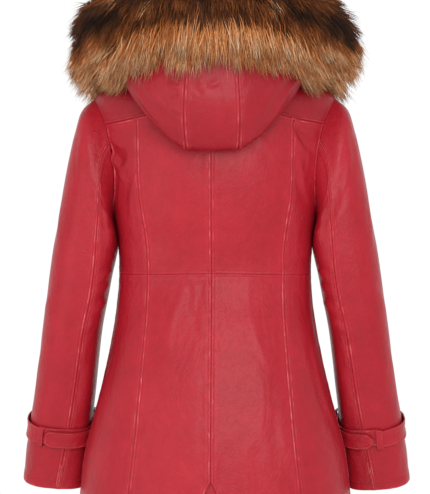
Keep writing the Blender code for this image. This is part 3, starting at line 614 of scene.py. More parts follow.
# drop of the outer line from the shoulder, outer x, inner x, inner height, middle y,
# half depth, forward pitch of the ring in degrees, turn of the back seam
ARM_ROWS = (
    (0.017, 0.2120, 0.1625, -0.2320, 0.001, 0.0640, 0.0, 97),
    (0.055, 0.2255, 0.1595, -0.2460, 0.001, 0.0665, 0.0, 101),
    (0.097, 0.2355, 0.1575, -0.2590, 0.000, 0.0670, 0.0, 103),
    (0.147, 0.2450, 0.1570, -0.2720, 0.000, 0.0655, 0.0, 104),
    (0.198, 0.2535, 0.1605, -0.2910, 0.000, 0.0630, 0.0, 107),
    (0.242, 0.2615, 0.1660, -0.3150, -0.001, 0.0610, 2.0, 111),
    (0.297, 0.2700, 0.1745, -0.3580, -0.006, 0.0590, 6.0, 112),
    (0.352, 0.2785, 0.1840, -0.4050, -0.015, 0.0570, 9.0, 109),
    (0.407, 0.2865, 0.1905, -0.4520, -0.026, 0.0550, 11.0, 107),
    (0.462, 0.2945, 0.1965, -0.5020, -0.038, 0.0530, 12.5, 105),
    (0.517, 0.3050, 0.2035, -0.5560, -0.051, 0.0520, 13.5, 103),
    (0.569, 0.3135, 0.2095, -0.6070, -0.064, 0.0510, 14.0, 99),
    (0.622, 0.3205, 0.2150, -0.6620, -0.077, 0.0500, 14.0, 95),
)
ARM_DROPS = [0.0] + [row[0] for row in ARM_ROWS]
# the section is squarest at its inner corner behind, where the sleeve lies against the side
ARM_FRONT_SEAM, ARM_SQUARE, ARM_CORNER, CAP = 220, 0.80, 0.34, 0.0165
CLOTH_PER_ARM_DEGREE = 0.00098
# creases in millimetres of cloth: across from the outer line and down from the shoulder of one end
# and of the other, half width of the soft side, height
ARM_CREASES = (
    (52, 20, 74, 110, 9, 2.2),
    (30, 12, 40, 62, 8, 1.2),
    (100, 50, 98, 140, 10, 2.4),
    (130, 30, 118, 120, 10, 2),
    (150, 60, 126, 175, 11, 2.2),
    (170, 230, 120, 262, 9, 2),
    (172, 262, 128, 282, 8, 1.6),
    (176, 296, 118, 318, 10, 2.2),
    (150, 330, 88, 362, 10, 1.4),
    (60, 300, 10, 345, 14, 1.2),
    (20, 150, 46, 245, 14, 1.3),
    (-30, 100, -10, 220, 15, 1.4),
    (72, 400, 96, 505, 12, -1.2),
    (30, 390, 12, 500, 14, 1.2),
    (130, 400, 124, 505, 12, 1.4),
    (-60, 260, -110, 300, 12, 2),
    (-50, 300, -115, 325, 11, 1.8),
    (-60, 350, -100, 372, 11, 1.4),
    (-70, 60, -100, 160, 11, 2),
    (-100, 40, -130, 140, 10, 2),
    (-40, 420, -70, 506, 13, 1.3),
    (50, 556, 60, 606, 12, 1.1),
    (5, 554, -4, 604, 13, 1.1),
)


def armhole_point(angle):
    """A point of the armhole; angle 0 is the shoulder, 90 the back, 180 the underarm."""
    angle, inset = np.radians(angle), 0.0005
    half = (SHOULDER - UNDERARM) / 2 - inset
    turn = 90 - (ARMHOLE_TURN - math.degrees(inset / 0.17)) * np.sin(angle)
    return trunk_point(turn, (SHOULDER + UNDERARM) / 2 + half * np.cos(angle))


def flow(knots, rings, at):
    """Places on smooth curves drawn through the matching points of rings, however far apart they lie."""
    step = np.linalg.norm(np.diff(rings, axis=0), axis=-1, keepdims=True)
    chord = np.diff(rings, axis=0) / step
    inner = (step[:-1] * chord[1:] + step[1:] * chord[:-1]) / (step[:-1] + step[1:])
    slopes = np.concatenate([chord[:1], inner, chord[-1:]])
    knots, at = np.asarray(knots), np.clip(at, knots[0], knots[-1])
    k = np.clip(np.searchsorted(knots, at, side="right") - 1, 0, len(knots) - 2)
    t = ((at - knots[k]) / (knots[k + 1] - knots[k]))[..., None]

    def pick(table, row):
        return np.take_along_axis(table, row[None, ..., None], axis=0)[0]

    runs = pick(step, k) * pick(slopes, k), pick(step, k) * pick(slopes, k + 1)
    return eased(t, pick(rings, k), pick(rings, k + 1), *runs)


def arm_point(angle, drop):
    """A point of the left sleeve; angle 0 is its outer line, 90 the back, and drop runs down."""
    angle, drop = pair(angle, drop)
    rings = [armhole_point(angle)]
    sine, cosine = np.sin(np.radians(angle))[..., None], np.cos(np.radians(angle))[..., None]
    power = ARM_SQUARE - ARM_CORNER * np.maximum(-cosine, 0) * np.maximum(sine, 0)
    round_x, round_y = (np.sign(way) * np.abs(way) ** power for way in (cosine, sine))
    for fall, outer_x, inner_x, inner_z, mid_y, depth, pitch, _ in ARM_ROWS:
        outer = np.array([outer_x, mid_y, ARM_TOP - fall])
        inner = np.array([inner_x, mid_y, inner_z])
        back = np.array([0.0, math.cos(math.radians(pitch)), -math.sin(math.radians(pitch))]) * depth
        rings.append((outer + inner) / 2 + (outer - inner) / 2 * round_x + back * round_y)
    return flow(ARM_DROPS, np.array(rings), drop)


def arm_seam(drop):
    return smooth(ARM_DROPS, [[79.0]] + [[row[-1]] for row in ARM_ROWS], drop)[..., 0]


def arm_creases(angle, drop):
    return creased(((angle + 180) % 360 - 180) * CLOTH_PER_ARM_DEGREE, drop, ARM_CREASES)


# the rows of a sleeve are closer together over the cap, where the cloth turns sharply
cap_drops = CAP * np.linspace(0, 1, 9) ** 1.5
arm_drops = CAP + spread(ARM_ROWS[-1][0] - CAP, 112, (0.0,), HEM_PLACES)
arm_drops = np.concatenate([cap_drops[:-1], arm_drops])
CROSS_ROW = 0.512  # the drop at which a row of thread crosses each sleeve, just over its strap
front = np.full(arm_drops.shape, ARM_FRONT_SEAM - 360.0)
back, round_to = arm_seam(arm_drops), np.full(arm_drops.shape, float(ARM_FRONT_SEAM))
for hand, mirror in (("left", False), ("right", True)):
    for part, first, last, count, seed, flat, area in (
        ("sleeve_top", front, back, 34, 61, (0.36, 0.665), 0.1405),
        ("sleeve_under", back, round_to, 16, 64, (0.18, 0.59), 0.0551),
    ):
        piece = cut_cloth(
            f"{part}_{hand}", arm_point, arm_drops, first, last, count, ("sewn", "sewn", "cut", "hem"),
            arm_creases, seed + 7 * mirror, mirror, ((CROSS_ROW, 0, 1),),
        )
        leather_piece(piece, f"{part}_{hand}")


# ---- Cuff straps ----
# A band of doubled leather round each cuff, topstitched near both edges and worn a little loose.
# Its free end passes the buckle on the inner side, lies over the band and is held by a leather loop.

BAND_TOP, BAND_WIDE, BAND_THICK, BAND_STAND = 0.520, 0.028, 0.0025, 0.0008
BAND_SUNK = 0.0008  # the band's own sewn edges stand this much over its middle
END_FROM, END_SHORT, END_GAP = 222, 7, 0.0012
LOOP_WIDE, LOOP_THICK, LOOP_SPARE, LOOP_LONG = 8, 0.0015, 0.0024, 0.0370
# the right strap is pulled tighter, so its loop sits further back and its free end is shorter
LOOP_TURNS = {"left": 66, "right": 84}
BAND_MIDDLE = BAND_TOP + BAND_WIDE / 2


def off_arm(angle, drop, out):
    """A point standing off the sleeve."""
    along = arm_point(angle + 0.5, drop) - arm_point(angle - 0.5, drop)
    down = arm_point(angle, drop + 0.002) - arm_point(angle, drop - 0.002)
    return arm_point(angle, drop) + unit(np.cross(down, along)) * np.asarray(out)[..., None]


def around(angle, middle):
    """1 at a place behind the arm, fading to 0 round the cuff."""
    return np.exp(-(((angle - middle) / 40) ** 2))


def looseness(angle):
    """How much further the band's upper edge stands off at some places round the cuff."""
    turned = np.radians(angle)
    uneven = 0.0007 * np.sin(2 * turned + 0.6) + 0.0004 * np.sin(3 * turned + 2.0)
    return 0.0011 + uneven + 0.0020 * around(angle, 108)


def sag(angle):
    """How far the band hangs down behind the arm."""
    return 0.0042 * around(angle, 104)


def band_out(angle, drop):
    share = (drop - BAND_TOP) / BAND_WIDE
    stand = (BAND_STAND + looseness(angle)) * (1 - share) + (LAP_GAP + 0.3 * looseness(angle)) * share
    return stand + BAND_THICK


def band_surface(angle, drop):
    return off_arm(angle, drop + sag(angle), band_out(angle, drop) - BAND_SUNK)


def end_surface(tip):
    """The free end, which narrows to a round tip at the turn given."""

    def surface(angle, across):
        near = np.clip((angle - tip) / 11.0, 0, 1)
        drop = BAND_MIDDLE + across * np.sqrt(np.clip(1 - (1 - near) ** 2, 0.02, 1))
        out = band_out(angle, drop) + END_GAP + BAND_THICK - BAND_SUNK
        return off_arm(angle, drop + sag(angle), out)

    return surface


def loop_surface(angle, along):
    """The loop's outer face; along runs over it from its upper foot to its lower foot."""
    low, high = BAND_TOP - LOOP_SPARE, BAND_TOP + BAND_WIDE + LOOP_SPARE
    over = BAND_STAND + BAND_THICK + 0.0014 + LOOP_THICK + 0.5 * looseness(LOOP_TURNS["left"])
    places = (0.0, 0.0030, 0.0050, 0.0220, 0.0320, 0.0340, LOOP_LONG)
    drops = (low, low + 0.0001, low + 0.0014, (low + high) / 2, high - 0.0014, high - 0.0001, high)
    outs = (0.0005, over - 0.0012, over + 0.0002, over + 0.0006, over, over - 0.0014, 0.0005)
    drop, out = np.interp(along, places, drops), np.interp(along, places, outs)
    return off_arm(angle, drop + sag(angle), out)


band_ups = BAND_TOP + spread(BAND_WIDE, 2)
end_ups = -BAND_WIDE * 0.48 + spread(BAND_WIDE * 0.96, 2)
loop_ups = np.linspace(0, LOOP_LONG, 26)
for hand, mirror, (tab_flat, tab_area) in (
    ("left", False, ((0.032, 0.162), 0.0048)),
    ("right", True, ((0.032, 0.142), 0.0042)),
):
    loop_turn = LOOP_TURNS[hand]
    whole = np.ones(band_ups.shape)
    band = cut_cloth(
        f"strap_{hand}", band_surface, band_ups, whole * (loop_turn - 360), whole * loop_turn, 84,
        ("cut", "cut", "sewn", "sewn"), None, 81 + mirror, mirror,
    )
    leather_piece(band, f"strap_{hand}")
    whole = np.ones(end_ups.shape)
    tip = loop_turn + END_SHORT
    end = cut_cloth(
        f"strap_tab_{hand}", end_surface(tip), end_ups, whole * tip, whole * END_FROM, 40,
        ("cut", "cut", "sewn", "sewn"), None, 83 + mirror, mirror,
    )
    leather_piece(end, f"strap_tab_{hand}")
    turns = np.linspace(loop_turn - LOOP_WIDE / 2, loop_turn + LOOP_WIDE / 2, 9)
    across, along = np.meshgrid(turns, loop_ups)
    points = loop_surface(across, along) * ((-1, 1, 1) if mirror else (1, 1, 1))
    # the loop's edges painted lighter, partly as rubbed wear and partly as a painted highlight
    rubbed = np.where(np.abs(across - loop_turn) > LOOP_WIDE * 0.4, 0.5, 0.0)
    loop = shell(f"strap_loop_{hand}", points, rubbed, not mirror, LOOP_THICK)
    leather_piece(loop, f"strap_loop_{hand}")

# ---- Buckles ----
# A small rectangular frame of darkened steel with a bar across its middle and a round pin, sewn
# into the band on the inner side of each cuff.

BUCKLE_TURN, BUCKLE_HIGH, BUCKLE_WIDE, BUCKLE_RIM, BUCKLE_THICK = 212, 0.042, 0.024, 0.0045, 0.003
BUCKLE_CORNER, BUCKLE_ROUND, BAR_RADIUS, PIN_RADIUS, BUCKLE_LIFT = 0.0055, 0.0012, 0.0017, 0.0011, 0.0022


def dark_steel(on, place):
    """Gunmetal: dark, smooth, lightly scratched, rubbed brighter where it is touched."""
    rubs = on.noise(Vector=place, Scale=420.0, Detail=4.0, Distortion=1.5)
    scratches = on.noise(Vector=place, Scale=1900.0, Detail=2.0)
    return {
        "Base Color": on.mix(rubs, (0.085, 0.083, 0.088, 1), (0.225, 0.220, 0.225, 1)),
        "Metallic": 1.0,
        "Roughness": 0.20 + rubs * 0.18 + scratches * 0.06,
        "Normal": on.bump(scratches, 0.25, 0.0002),
    }


GUNMETAL = material("gunmetal", dark_steel)


def metal_piece(piece, node):
    piece.name = f"{node}_steel"
    piece.data.materials.clear()
    piece.data.materials.append(GUNMETAL)
    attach(piece, "root")
    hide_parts(node)


def set_down(piece, spot, higher, down):
    """Moves a piece modelled flat at the origin onto its seat; higher is a place right over the seat."""
    facing = Vector(higher - spot).normalized()
    down = (down - facing * down.dot(facing)).normalized()
    turn = Matrix((facing.cross(down), down, facing)).transposed().to_4x4()
    piece.data.transform(Matrix.Translation(Vector(spot)) @ turn)
    piece.data.update()


def buckle_flat(name):
    bpy.ops.object.select_all(action="DESELECT")
    bpy.ops.mesh.primitive_plane_add(size=1.0)
    piece = bpy.context.object
    piece.name = name
    piece.scale = (BUCKLE_WIDE, BUCKLE_HIGH, 1)
    bpy.ops.object.transform_apply(scale=True)
    bpy.ops.object.mode_set(mode="EDIT")
    bpy.ops.mesh.select_all(action="SELECT")
    bpy.ops.mesh.bevel(offset=BUCKLE_CORNER, segments=5, affect="VERTICES")
    bpy.ops.mesh.select_all(action="SELECT")
    bpy.ops.mesh.inset(thickness=BUCKLE_RIM)
    bpy.ops.mesh.delete(type="FACE")
    bpy.ops.object.mode_set(mode="OBJECT")
    for kind, settings in (
        ("SOLIDIFY", {"thickness": BUCKLE_THICK, "offset": 0}),
        ("BEVEL", {"width": BUCKLE_ROUND, "segments": 3, "limit_method": "ANGLE"}),
    ):
        step = piece.modifiers.new("step", kind)
        for key, value in settings.items():
            setattr(step, key, value)
        bpy.ops.object.modifier_apply(modifier="step")
    parts = [piece]
    for radius, length, place, turned in (
        (BAR_RADIUS, BUCKLE_HIGH - 0.006, (0, 0, 0), (math.radians(90), 0, 0)),
        (PIN_RADIUS, BUCKLE_WIDE * 0.62, (BUCKLE_WIDE * 0.24, 0, 0.0016), (0, math.radians(84), 0)),
    ):
        bpy.ops.mesh.primitive_cylinder_add(
            vertices=20, radius=radius, depth=length, location=place, rotation=turned
        )
        bpy.ops.object.transform_apply(location=True, rotation=True)
        parts.append(bpy.context.object)
    for part in parts:
        part.select_set(True)
    bpy.context.view_layer.objects.active = piece
    bpy.ops.object.join()
    bpy.ops.object.shade_smooth_by_angle(angle=math.radians(40))
    return piece


for hand, mirror in (("left", (1, 1, 1)), ("right", (-1, 1, 1))):
    turn, middle = np.array(float(BUCKLE_TURN)), np.array(BAND_MIDDLE)
    out = BAND_STAND + 2 * BAND_THICK + END_GAP + BUCKLE_LIFT + BUCKLE_THICK / 2
    spot, higher = off_arm(turn, middle, out) * mirror, off_arm(turn, middle, out + 0.01) * mirror
    frame_piece = buckle_flat(f"buckle_{hand}")
    set_down(frame_piece, spot, higher, Vector(off_arm(turn, middle + 0.01, out) * mirror - spot))
    metal_piece(frame_piece, f"buckle_{hand}")

# ---- Press studs ----
# Six domed caps of the same darkened steel down the middle of the placket, each with a rolled rim.

STUD_RADIUS, STUD_BASE, STUD_LEVELS = 0.0075, 0.0012, np.linspace(0.235, 0.688, 6)
# the rings of a cap from its rolled rim inwards: how much narrower and how much higher each is
STUD_RINGS = ((0.0009, 0.0), (0.0006, -0.0005), (0.0010, 0.0013), (0.0020, 0.0008), (0.0018, 0.0003))
for number, level in enumerate(STUD_LEVELS):
    seat = lifted_trunk(LEATHER_THICK + LAP_GAP + 0.0006)(np.array(180.0), np.array(level))
    higher = lifted_trunk(0.012)(np.array(180.0), np.array(level))
    bpy.ops.object.select_all(action="DESELECT")
    bpy.ops.mesh.primitive_cylinder_add(
        vertices=40, radius=STUD_RADIUS, depth=STUD_BASE, location=(0, 0, STUD_BASE / 2)
    )
    stud = bpy.context.object
    stud.name = f"stud_{number + 1}"
    bpy.ops.object.transform_apply(location=True)
    bpy.ops.object.mode_set(mode="EDIT")
    bpy.ops.mesh.select_all(action="DESELECT")
    bpy.ops.object.mode_set(mode="OBJECT")
    for face in stud.data.polygons:
        face.select = face.normal.z > 0.9
    bpy.ops.object.mode_set(mode="EDIT")
    for inset, rise in STUD_RINGS:
        bpy.ops.mesh.inset(thickness=inset)
        bpy.ops.transform.translate(value=(0, 0, rise))
    bpy.ops.object.mode_set(mode="OBJECT")
    step = stud.modifiers.new("step", "BEVEL")
    step.width, step.segments, step.limit_method = 0.0003, 2, "ANGLE"
    step.angle_limit = math.radians(30)
    bpy.ops.object.modifier_apply(modifier="step")
    bpy.ops.object.shade_smooth()
    set_down(stud, seat, higher, Vector((0, 0, -1)))
    metal_piece(stud, f"stud_{number + 1}")


# ---- Hood ----
# A three-piece hood of the same leather, hanging empty down the back: from the neckline it runs
# up over a crest, down the back, folds, and comes up again to the fur. A centre strip is joined to
# the two sides by topstitched seams, and the slack leather is slightly gathered at the fold.

# direction from the neck's middle, then reach and height of the crest over the neckline,
# the layer against the back, the fold at the bottom and the outer layer,
# and the place on the fur's section where the rim ends
HOOD_ROWS = (
    (0, 0.080, 0.015, 0.1225, -0.070, 0.1500, -0.1270, 0.1890, -0.068, -50),
    (20, 0.081, 0.016, 0.1280, -0.066, 0.1565, -0.1180, 0.1910, -0.060, -53),
    (40, 0.083, 0.018, 0.1410, -0.030, 0.1640, -0.0680, 0.1880, -0.028, -62),
    (52, 0.083, 0.021, 0.1400, -0.010, 0.1600, -0.0360, 0.1760, -0.013, -80),
    (66, 0.083, 0.022, 0.1150, 0.000, 0.1390, -0.0090, 0.1440, -0.002, -112),
    (82, 0.084, 0.021, 0.0900, 0.022, 0.0960, 0.0200, 0.1010, 0.020, -150),
    (100, 0.084, 0.014, 0.0900, 0.015, 0.0960, 0.0150, 0.1010, 0.015, -160),
    (125, 0.086, -0.012, 0.0910, -0.011, 0.0970, -0.0100, 0.1020, -0.009, -165),
    (150, 0.089, -0.049, 0.0950, -0.047, 0.1010, -0.0450, 0.1070, -0.043, -170),
    (162, 0.090, -0.067, 0.0960, -0.066, 0.1030, -0.0650, 0.1110, -0.065, -172),
)
# direction, reach of the middle from the neck's middle, height of the middle,
# half size across and upwards
FUR_ROWS = (
    (0, 0.1400, 0.0956, 0.0770, 0.0770),
    (33, 0.1484, 0.0880, 0.0760, 0.0740),
    (60, 0.1612, 0.0700, 0.0740, 0.0660),
    (85, 0.1673, 0.0480, 0.0680, 0.0580),
    (107, 0.1657, 0.0340, 0.0620, 0.0520),
    (128, 0.1600, 0.0030, 0.0550, 0.0500),
    (148, 0.1595, -0.0300, 0.0480, 0.0460),
    (162, 0.1580, -0.0580, 0.0400, 0.0400),
    (172, 0.1570, -0.0750, 0.0360, 0.0360),
)
HOOD_END, HOOD_SEAM, RIM_SCALE = 160, (22, 14.8, 10.9), 1 + 0.0019 / 0.07
CLOTH_PER_STEP, CLOTH_PER_HOOD_DEGREE = 0.075, 0.0033
# creases of the hood, in millimetres of cloth: across from the middle and up from the fold
HOOD_CREASES = [
    (66, 105, 46, 97.5, 4, 2.6),
    (65, 85, 49, 94, 4, -2.2),
    (22, 105, 10, 97.5, 3.5, 2.1),
    (8, 102, -16, 109, 3.5, 2.1),
    (58, 70, 45, 69, 3, 1.3),
    (-45, 69, -54, 70, 3, 1.3),
    (155, 98, 92, 30, 11, 2.6),
    (-160, 100, -94, 26, 12, 3),
    (120, 110, 70, 58, 9, 1.8),
    (-116, 112, -74, 52, 9, 1.7),
    (-66, 104, -48, 90, 4.5, 1.2),
    (30, 85, 36, 30, 8, -1),
    (-26, 80, -32, 26, 8, -1),
]
# the gathers along the fold
for number in range(17):
    gather = -104 + 13 * number + 3 * math.sin(number * 2.3)
    reach_up, raised = 13 + 6 * math.sin(number * 1.7), 1.2 + 0.4 * math.sin(number * 3.1)
    HOOD_CREASES.append((gather, -12, gather * 1.01, reach_up, 3.4, raised))


def fur_point(direction, angle, scale=1.0):
    """A point of the fur's surface; angle 0 is outward, 90 up, -90 down, 180 towards the neck."""
    direction, angle = pair(direction, angle)
    reach, high, across, up = rows_at(FUR_ROWS, np.abs(direction))
    away = reach + across * scale * np.cos(np.radians(angle))
    turn = np.radians(direction)
    level = high + up * scale * np.sin(np.radians(angle))
    return np.stack([away * np.sin(turn), away * np.cos(turn), level], axis=-1)


def hood_point(direction, step):
    """A point of the hood; steps 0 to 5 are neckline, crest, back layer, fold, outer layer and rim."""
    direction, step = pair(direction, step)
    row = rows_at(HOOD_ROWS, np.abs(direction))
    turn = np.radians(np.abs(direction))
    stops = [trunk_point(np.abs(direction), NECK) + np.array([0, 0, JOIN_GAP])]
    for i in range(4):
        reach, high = row[2 * i], row[2 * i + 1]
        stops.append(np.stack([reach * np.sin(turn), reach * np.cos(turn), high], axis=-1))
    stops.append(fur_point(np.abs(direction), row[8], RIM_SCALE))
    found = smooth(range(6), np.array(stops), step)
    return found * np.stack([np.where(direction < 0, -1, 1)] + [np.ones_like(step)] * 2, axis=-1)


def hood_seam(step):
    return smooth((0, 3, 5), [[t] for t in HOOD_SEAM], step)[..., 0]


def hood_creases(direction, step):
    return creased(direction * CLOTH_PER_HOOD_DEGREE, (step - 3) * CLOTH_PER_STEP, HOOD_CREASES)


fine_steps = np.linspace(0, 5, 400)
hood_run = row_lengths(hood_point(np.zeros(400), fine_steps), 0)
hood_steps = np.interp(spread(hood_run[-1], 96), hood_run, fine_steps)
joined, ended = hood_seam(hood_steps), np.full(hood_steps.shape, float(HOOD_END))
for name, first, last, count, edges, seed, flat, area in (
    ("hood_center", -joined, joined, 16, ("sewn", "sewn", "cut", "cut"), 91, (0.087, 0.365), 0.0280),
    ("hood_left", joined, ended, 52, ("sewn", "cut", "cut", "cut"), 92, (0.36, 0.34), 0.0399),
    ("hood_right", -ended, -joined, 52, ("cut", "sewn", "cut", "cut"), 93, (0.36, 0.34), 0.0399),
):
    piece = cut_cloth(name, hood_point, hood_steps, first, last, count, edges, hood_creases, seed)
    # the hood's pieces carry a painted shade
    leather_piece(piece, name, 0.42)


# ---- Topstitching ----
# Rows of bonded thread in the leather's own red, a stitch every 4 mm, drawn a little into the
# leather. One stitch is modelled and set down along every row.

STITCH_PITCH, STITCH_LONG, STITCH_HALF = 0.0040, 0.0031, 0.00042


def placed_on(line, run, at):
    """Values of a line's points at places along its run."""
    return np.stack([np.interp(at, run, line[:, column]) for column in range(3)], axis=-1)


def repeated(name, model, points):
    """Copies of a small modelled shape in one mesh, with all their points already placed."""
    each = points.shape[1]
    step = (np.arange(len(points)) * each)[:, None, None]
    found = []
    for sides in (3, 4):
        kind = np.array([list(face.vertices) for face in model.data.polygons if len(face.vertices) == sides])
        if len(kind):
            found += (kind[None] + step).reshape(-1, sides).tolist()
    mesh = bpy.data.meshes.new(name)
    mesh.from_pydata(points.reshape(-1, 3).tolist(), [], found)
    piece = bpy.data.objects.new(name, mesh)
    bpy.context.collection.objects.link(piece)
    piece.data.shade_smooth()
    return piece


def red_thread(on, place):
    """Polyester thread dyed with the leather, slightly deeper in tone and with a faint twist."""
    twist = on.noise(Vector=place, Scale=1400.0)
    return {
        "Base Color": on.mix(twist, (0.330, 0.008, 0.018, 1), (0.520, 0.020, 0.036, 1)),
        "Roughness": 0.34 + twist * 0.12,
        "Normal": on.bump(twist, 0.3, 0.0002),
    }


RED_THREAD = material("red_thread", red_thread)
bpy.ops.object.select_all(action="DESELECT")
bpy.ops.mesh.primitive_uv_sphere_add(segments=4, ring_count=3, radius=1.0)
one_stitch = bpy.context.object
stitch_points = np.array([v.co for v in one_stitch.data.vertices])
stitch_points[:, 2] = np.sign(stitch_points[:, 2]) * np.abs(stitch_points[:, 2]) ** 0.55
placed = []
for line, outward in thread_rows:
    run = row_lengths(line, 0)
    count = int(run[-1] / STITCH_PITCH)
    at = (np.arange(count) + 0.5) * run[-1] / count
    facing = unit(placed_on(outward, run, at))
    along = unit(placed_on(line, run, at + 0.001) - placed_on(line, run, at - 0.001))
    spots = (placed_on(line, run, at) + facing * STITCH_HALF * 0.35)[:, None, :]
    sizes = (STITCH_HALF, STITCH_HALF * 0.8, STITCH_LONG / 2)
    for axis, size, shape in zip((np.cross(facing, along), facing, along), sizes, stitch_points.T):
        spots = spots + axis[:, None, :] * (shape * size)[None, :, None]
    placed.append(spots)
stitches = repeated("topstitching", one_stitch, np.concatenate(placed))
stitches.data.materials.append(RED_THREAD)
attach(stitches, "root")
bpy.data.objects.remove(one_stitch, do_unlink=True)


# ---- Fur trim ----
# A strip of raccoon fur along the hood's edge: a fat horseshoe of long guard hair over dense
# underwool. Tan at its lower edge, rust brown above, with black-brown patches to both sides.

FUR_LAST, FUR_CORE = 167.5, 0.60
FLAT_FROM, FLATTENED = 0.200, 0.50  # the hair furthest out lies flatter over the back
# places on the pelt, seen from behind: x, z, half width, half height and how dark it is there
DARK_PATCHES = (
    (0.182, 0.070, 0.024, 0.017, 1.00),
    (0.213, 0.045, 0.013, 0.013, 1.00),
    (0.214, 0.022, 0.008, 0.005, 0.50),
    (0.152, 0.080, 0.014, 0.011, 0.90),
    (0.120, 0.054, 0.012, 0.005, 0.50),
    (-0.137, 0.076, 0.016, 0.011, 1.00),
    (-0.190, 0.069, 0.024, 0.019, 1.00),
    (-0.214, 0.047, 0.010, 0.011, 1.00),
    (-0.102, 0.054, 0.012, 0.005, 0.50),
    (0.050, 0.064, 0.020, 0.005, 0.35),
    (-0.046, 0.062, 0.020, 0.005, 0.35),
    (0.000, 0.076, 0.036, 0.006, 0.40),
    (0.100, 0.100, 0.050, 0.008, 0.60),
    (-0.090, 0.100, 0.050, 0.008, 0.60),
    (0.000, 0.140, 0.120, 0.022, 0.60),
)
# grey-white hairs: x, z, half width, half height
PALE_PATCHES = (
    (0.100, 0.083, 0.011, 0.010),
    (-0.097, 0.083, 0.010, 0.010),
    (0.152, 0.098, 0.010, 0.008),
)
# the pelt's colours from near black to cream
PELT_TONES = (
    (0.010, 0.005, 0.003),
    (0.085, 0.027, 0.009),
    (0.310, 0.088, 0.020),
    (0.610, 0.192, 0.050),
    (0.840, 0.365, 0.128),
    (0.900, 0.720, 0.480),
)
TAN, RUST_DROP, RUST_LEVEL, RUST_BLEND = 0.71, 0.39, 0.031, 0.024


def tone_colour(tone):
    """A pelt colour, with its alpha, from a tone between 0, near black, and 1, cream."""
    place = np.clip(tone, 0, 1) * (len(PELT_TONES) - 1)
    colour = [np.interp(place, range(len(PELT_TONES)), column) for column in zip(*PELT_TONES)]
    return np.stack(colour + [np.ones_like(place)], axis=-1)


def pelt_tone(spot, pale=0.0, marked=1.0):
    """The pelt's tone: tan below, rust above, dark in the patches, pale or unmarked on some hairs."""
    x, z = spot[..., 0], spot[..., 2]
    middle = np.exp(-((x / 0.08) ** 2))
    edge = RUST_LEVEL + 0.008 * middle - 0.006 * np.sin(x * 118 + 2 * np.sin(x * 47))
    band = np.clip((z - edge) / RUST_BLEND, 0, 1)
    flecks = np.sin(x * 150 + 3 * np.sin(z * 120)) * np.sin(z * 210 + 2 * np.sin(x * 90))
    tone = (TAN - 0.02 * middle - RUST_DROP * band) * (1 + 0.34 * band * flecks)
    for at_x, at_z, wide, high, dark in DARK_PATCHES:
        away = ((x - at_x) / wide) ** 2 + ((z - at_z) / high) ** 2
        tone = tone * (1 - dark * marked * 0.95 * np.exp(-away * 0.8))
    for at_x, at_z, wide, high in PALE_PATCHES:
        tone = tone + pale * np.exp(-(((x - at_x) / wide) ** 2) - ((z - at_z) / high) ** 2)
    return tone


def pelt(on, place):
    """Hair: the colour of each lock, streaked along it, with a soft sheen."""
    dyed = on.mark("pelt", 0)
    streaks = on.noise(Vector=place, Scale=320.0, Detail=3.0)
    kind = {"data_type": "RGBA", "blend_type": "MULTIPLY"}
    deep = on.node("ShaderNodeMix", kind, {0: 1.0, 6: dyed, 7: (0.55, 0.52, 0.50, 1)}, out=2)
    return {
        "Base Color": on.mix((streaks * 1.6 - 0.3).held(), deep, dyed),
        "Roughness": 0.52 + streaks * 0.2,
        "IOR": 1.28,
        "Normal": on.bump(streaks, 0.4, 0.0006),
    }


PELT = material("raccoon_pelt", pelt)
LOCK_THIRDS = ((0.62, 0.14, 0.30, 0.30), (0.46, 0.28, 0.70, 0.60), (0.26, 0.24, 0.92, 1.0))
luck = np.random.default_rng(24)


def lock_paths(direction, angle, length, spread_by, rooted):
    """Four points along each lock: it stands out of the pelt, leans over with the lie and hangs."""

    def fading(value):
        return np.clip(value, 0, 1)[..., None]

    root, skin = fur_point(direction, angle, rooted), fur_point(direction, angle)
    out = unit(skin - fur_point(direction, angle, 0.2))
    down = unit(fur_point(direction, angle - 2) - fur_point(direction, angle + 2))
    along = unit(fur_point(direction + 1, angle) - fur_point(direction - 1, angle))
    along = along * np.sign(direction)[..., None]
    lie = np.clip((88 - angle) / 45, -1, 1)[..., None]
    sideways = fading(np.abs(direction) / 70)
    # hair on the lower side hangs, except at the two ends of the trim
    low = fading((15 - angle) / 50) * fading((angle + 200) / 40) * fading((150 - np.abs(direction)) / 30)
    turn = np.radians(direction)
    away = np.stack([np.sin(turn), np.cos(turn), np.zeros_like(turn)], axis=-1)
    course = down * lie * 0.75 * (1 - 0.85 * low) + along * 0.26 * sideways
    course = course + away * (0.24 + 0.40 * sideways) * low
    course = unit(course + np.array([0, 0, -1.0]) * (0.10 + (0.90 - 0.22 * sideways) * low))
    stray = luck.normal(0, 1, root.shape) * spread_by[..., None]
    spots = [root]
    # of each third of a lock: out of the pelt, the same less where the hair hangs, lie, stray
    for stand, less, lean, loose in LOCK_THIRDS:
        step = out * (stand - less * low) + course * lean + stray * loose
        spots.append(spots[-1] + unit(step) * length[..., None] / 3)
    return np.stack(spots, axis=-2)


# one lock: a slender three-sided cone, cut across twice so that it can bend
bpy.ops.object.select_all(action="DESELECT")
bpy.ops.mesh.primitive_cone_add(
    vertices=3, radius1=1.0, radius2=0.0, depth=3.0, end_fill_type="NGON", location=(0, 0, 1.5)
)
one_lock = bpy.context.object
bpy.ops.object.transform_apply(location=True)
for level in (1.0, 2.0):
    bpy.ops.object.mode_set(mode="EDIT")
    bpy.ops.mesh.select_all(action="SELECT")
    bpy.ops.mesh.bisect(plane_co=(0, 0, level), plane_no=(0, 0, 1))
    bpy.ops.object.mode_set(mode="OBJECT")
model_points = np.array([v.co for v in one_lock.data.vertices])


LOCK_DRAWN, LOCK_TAPER = (0.0, 0.25, 0.62, 0.85), (1.0, 0.95, 0.62, 0.0)  # from root to tip


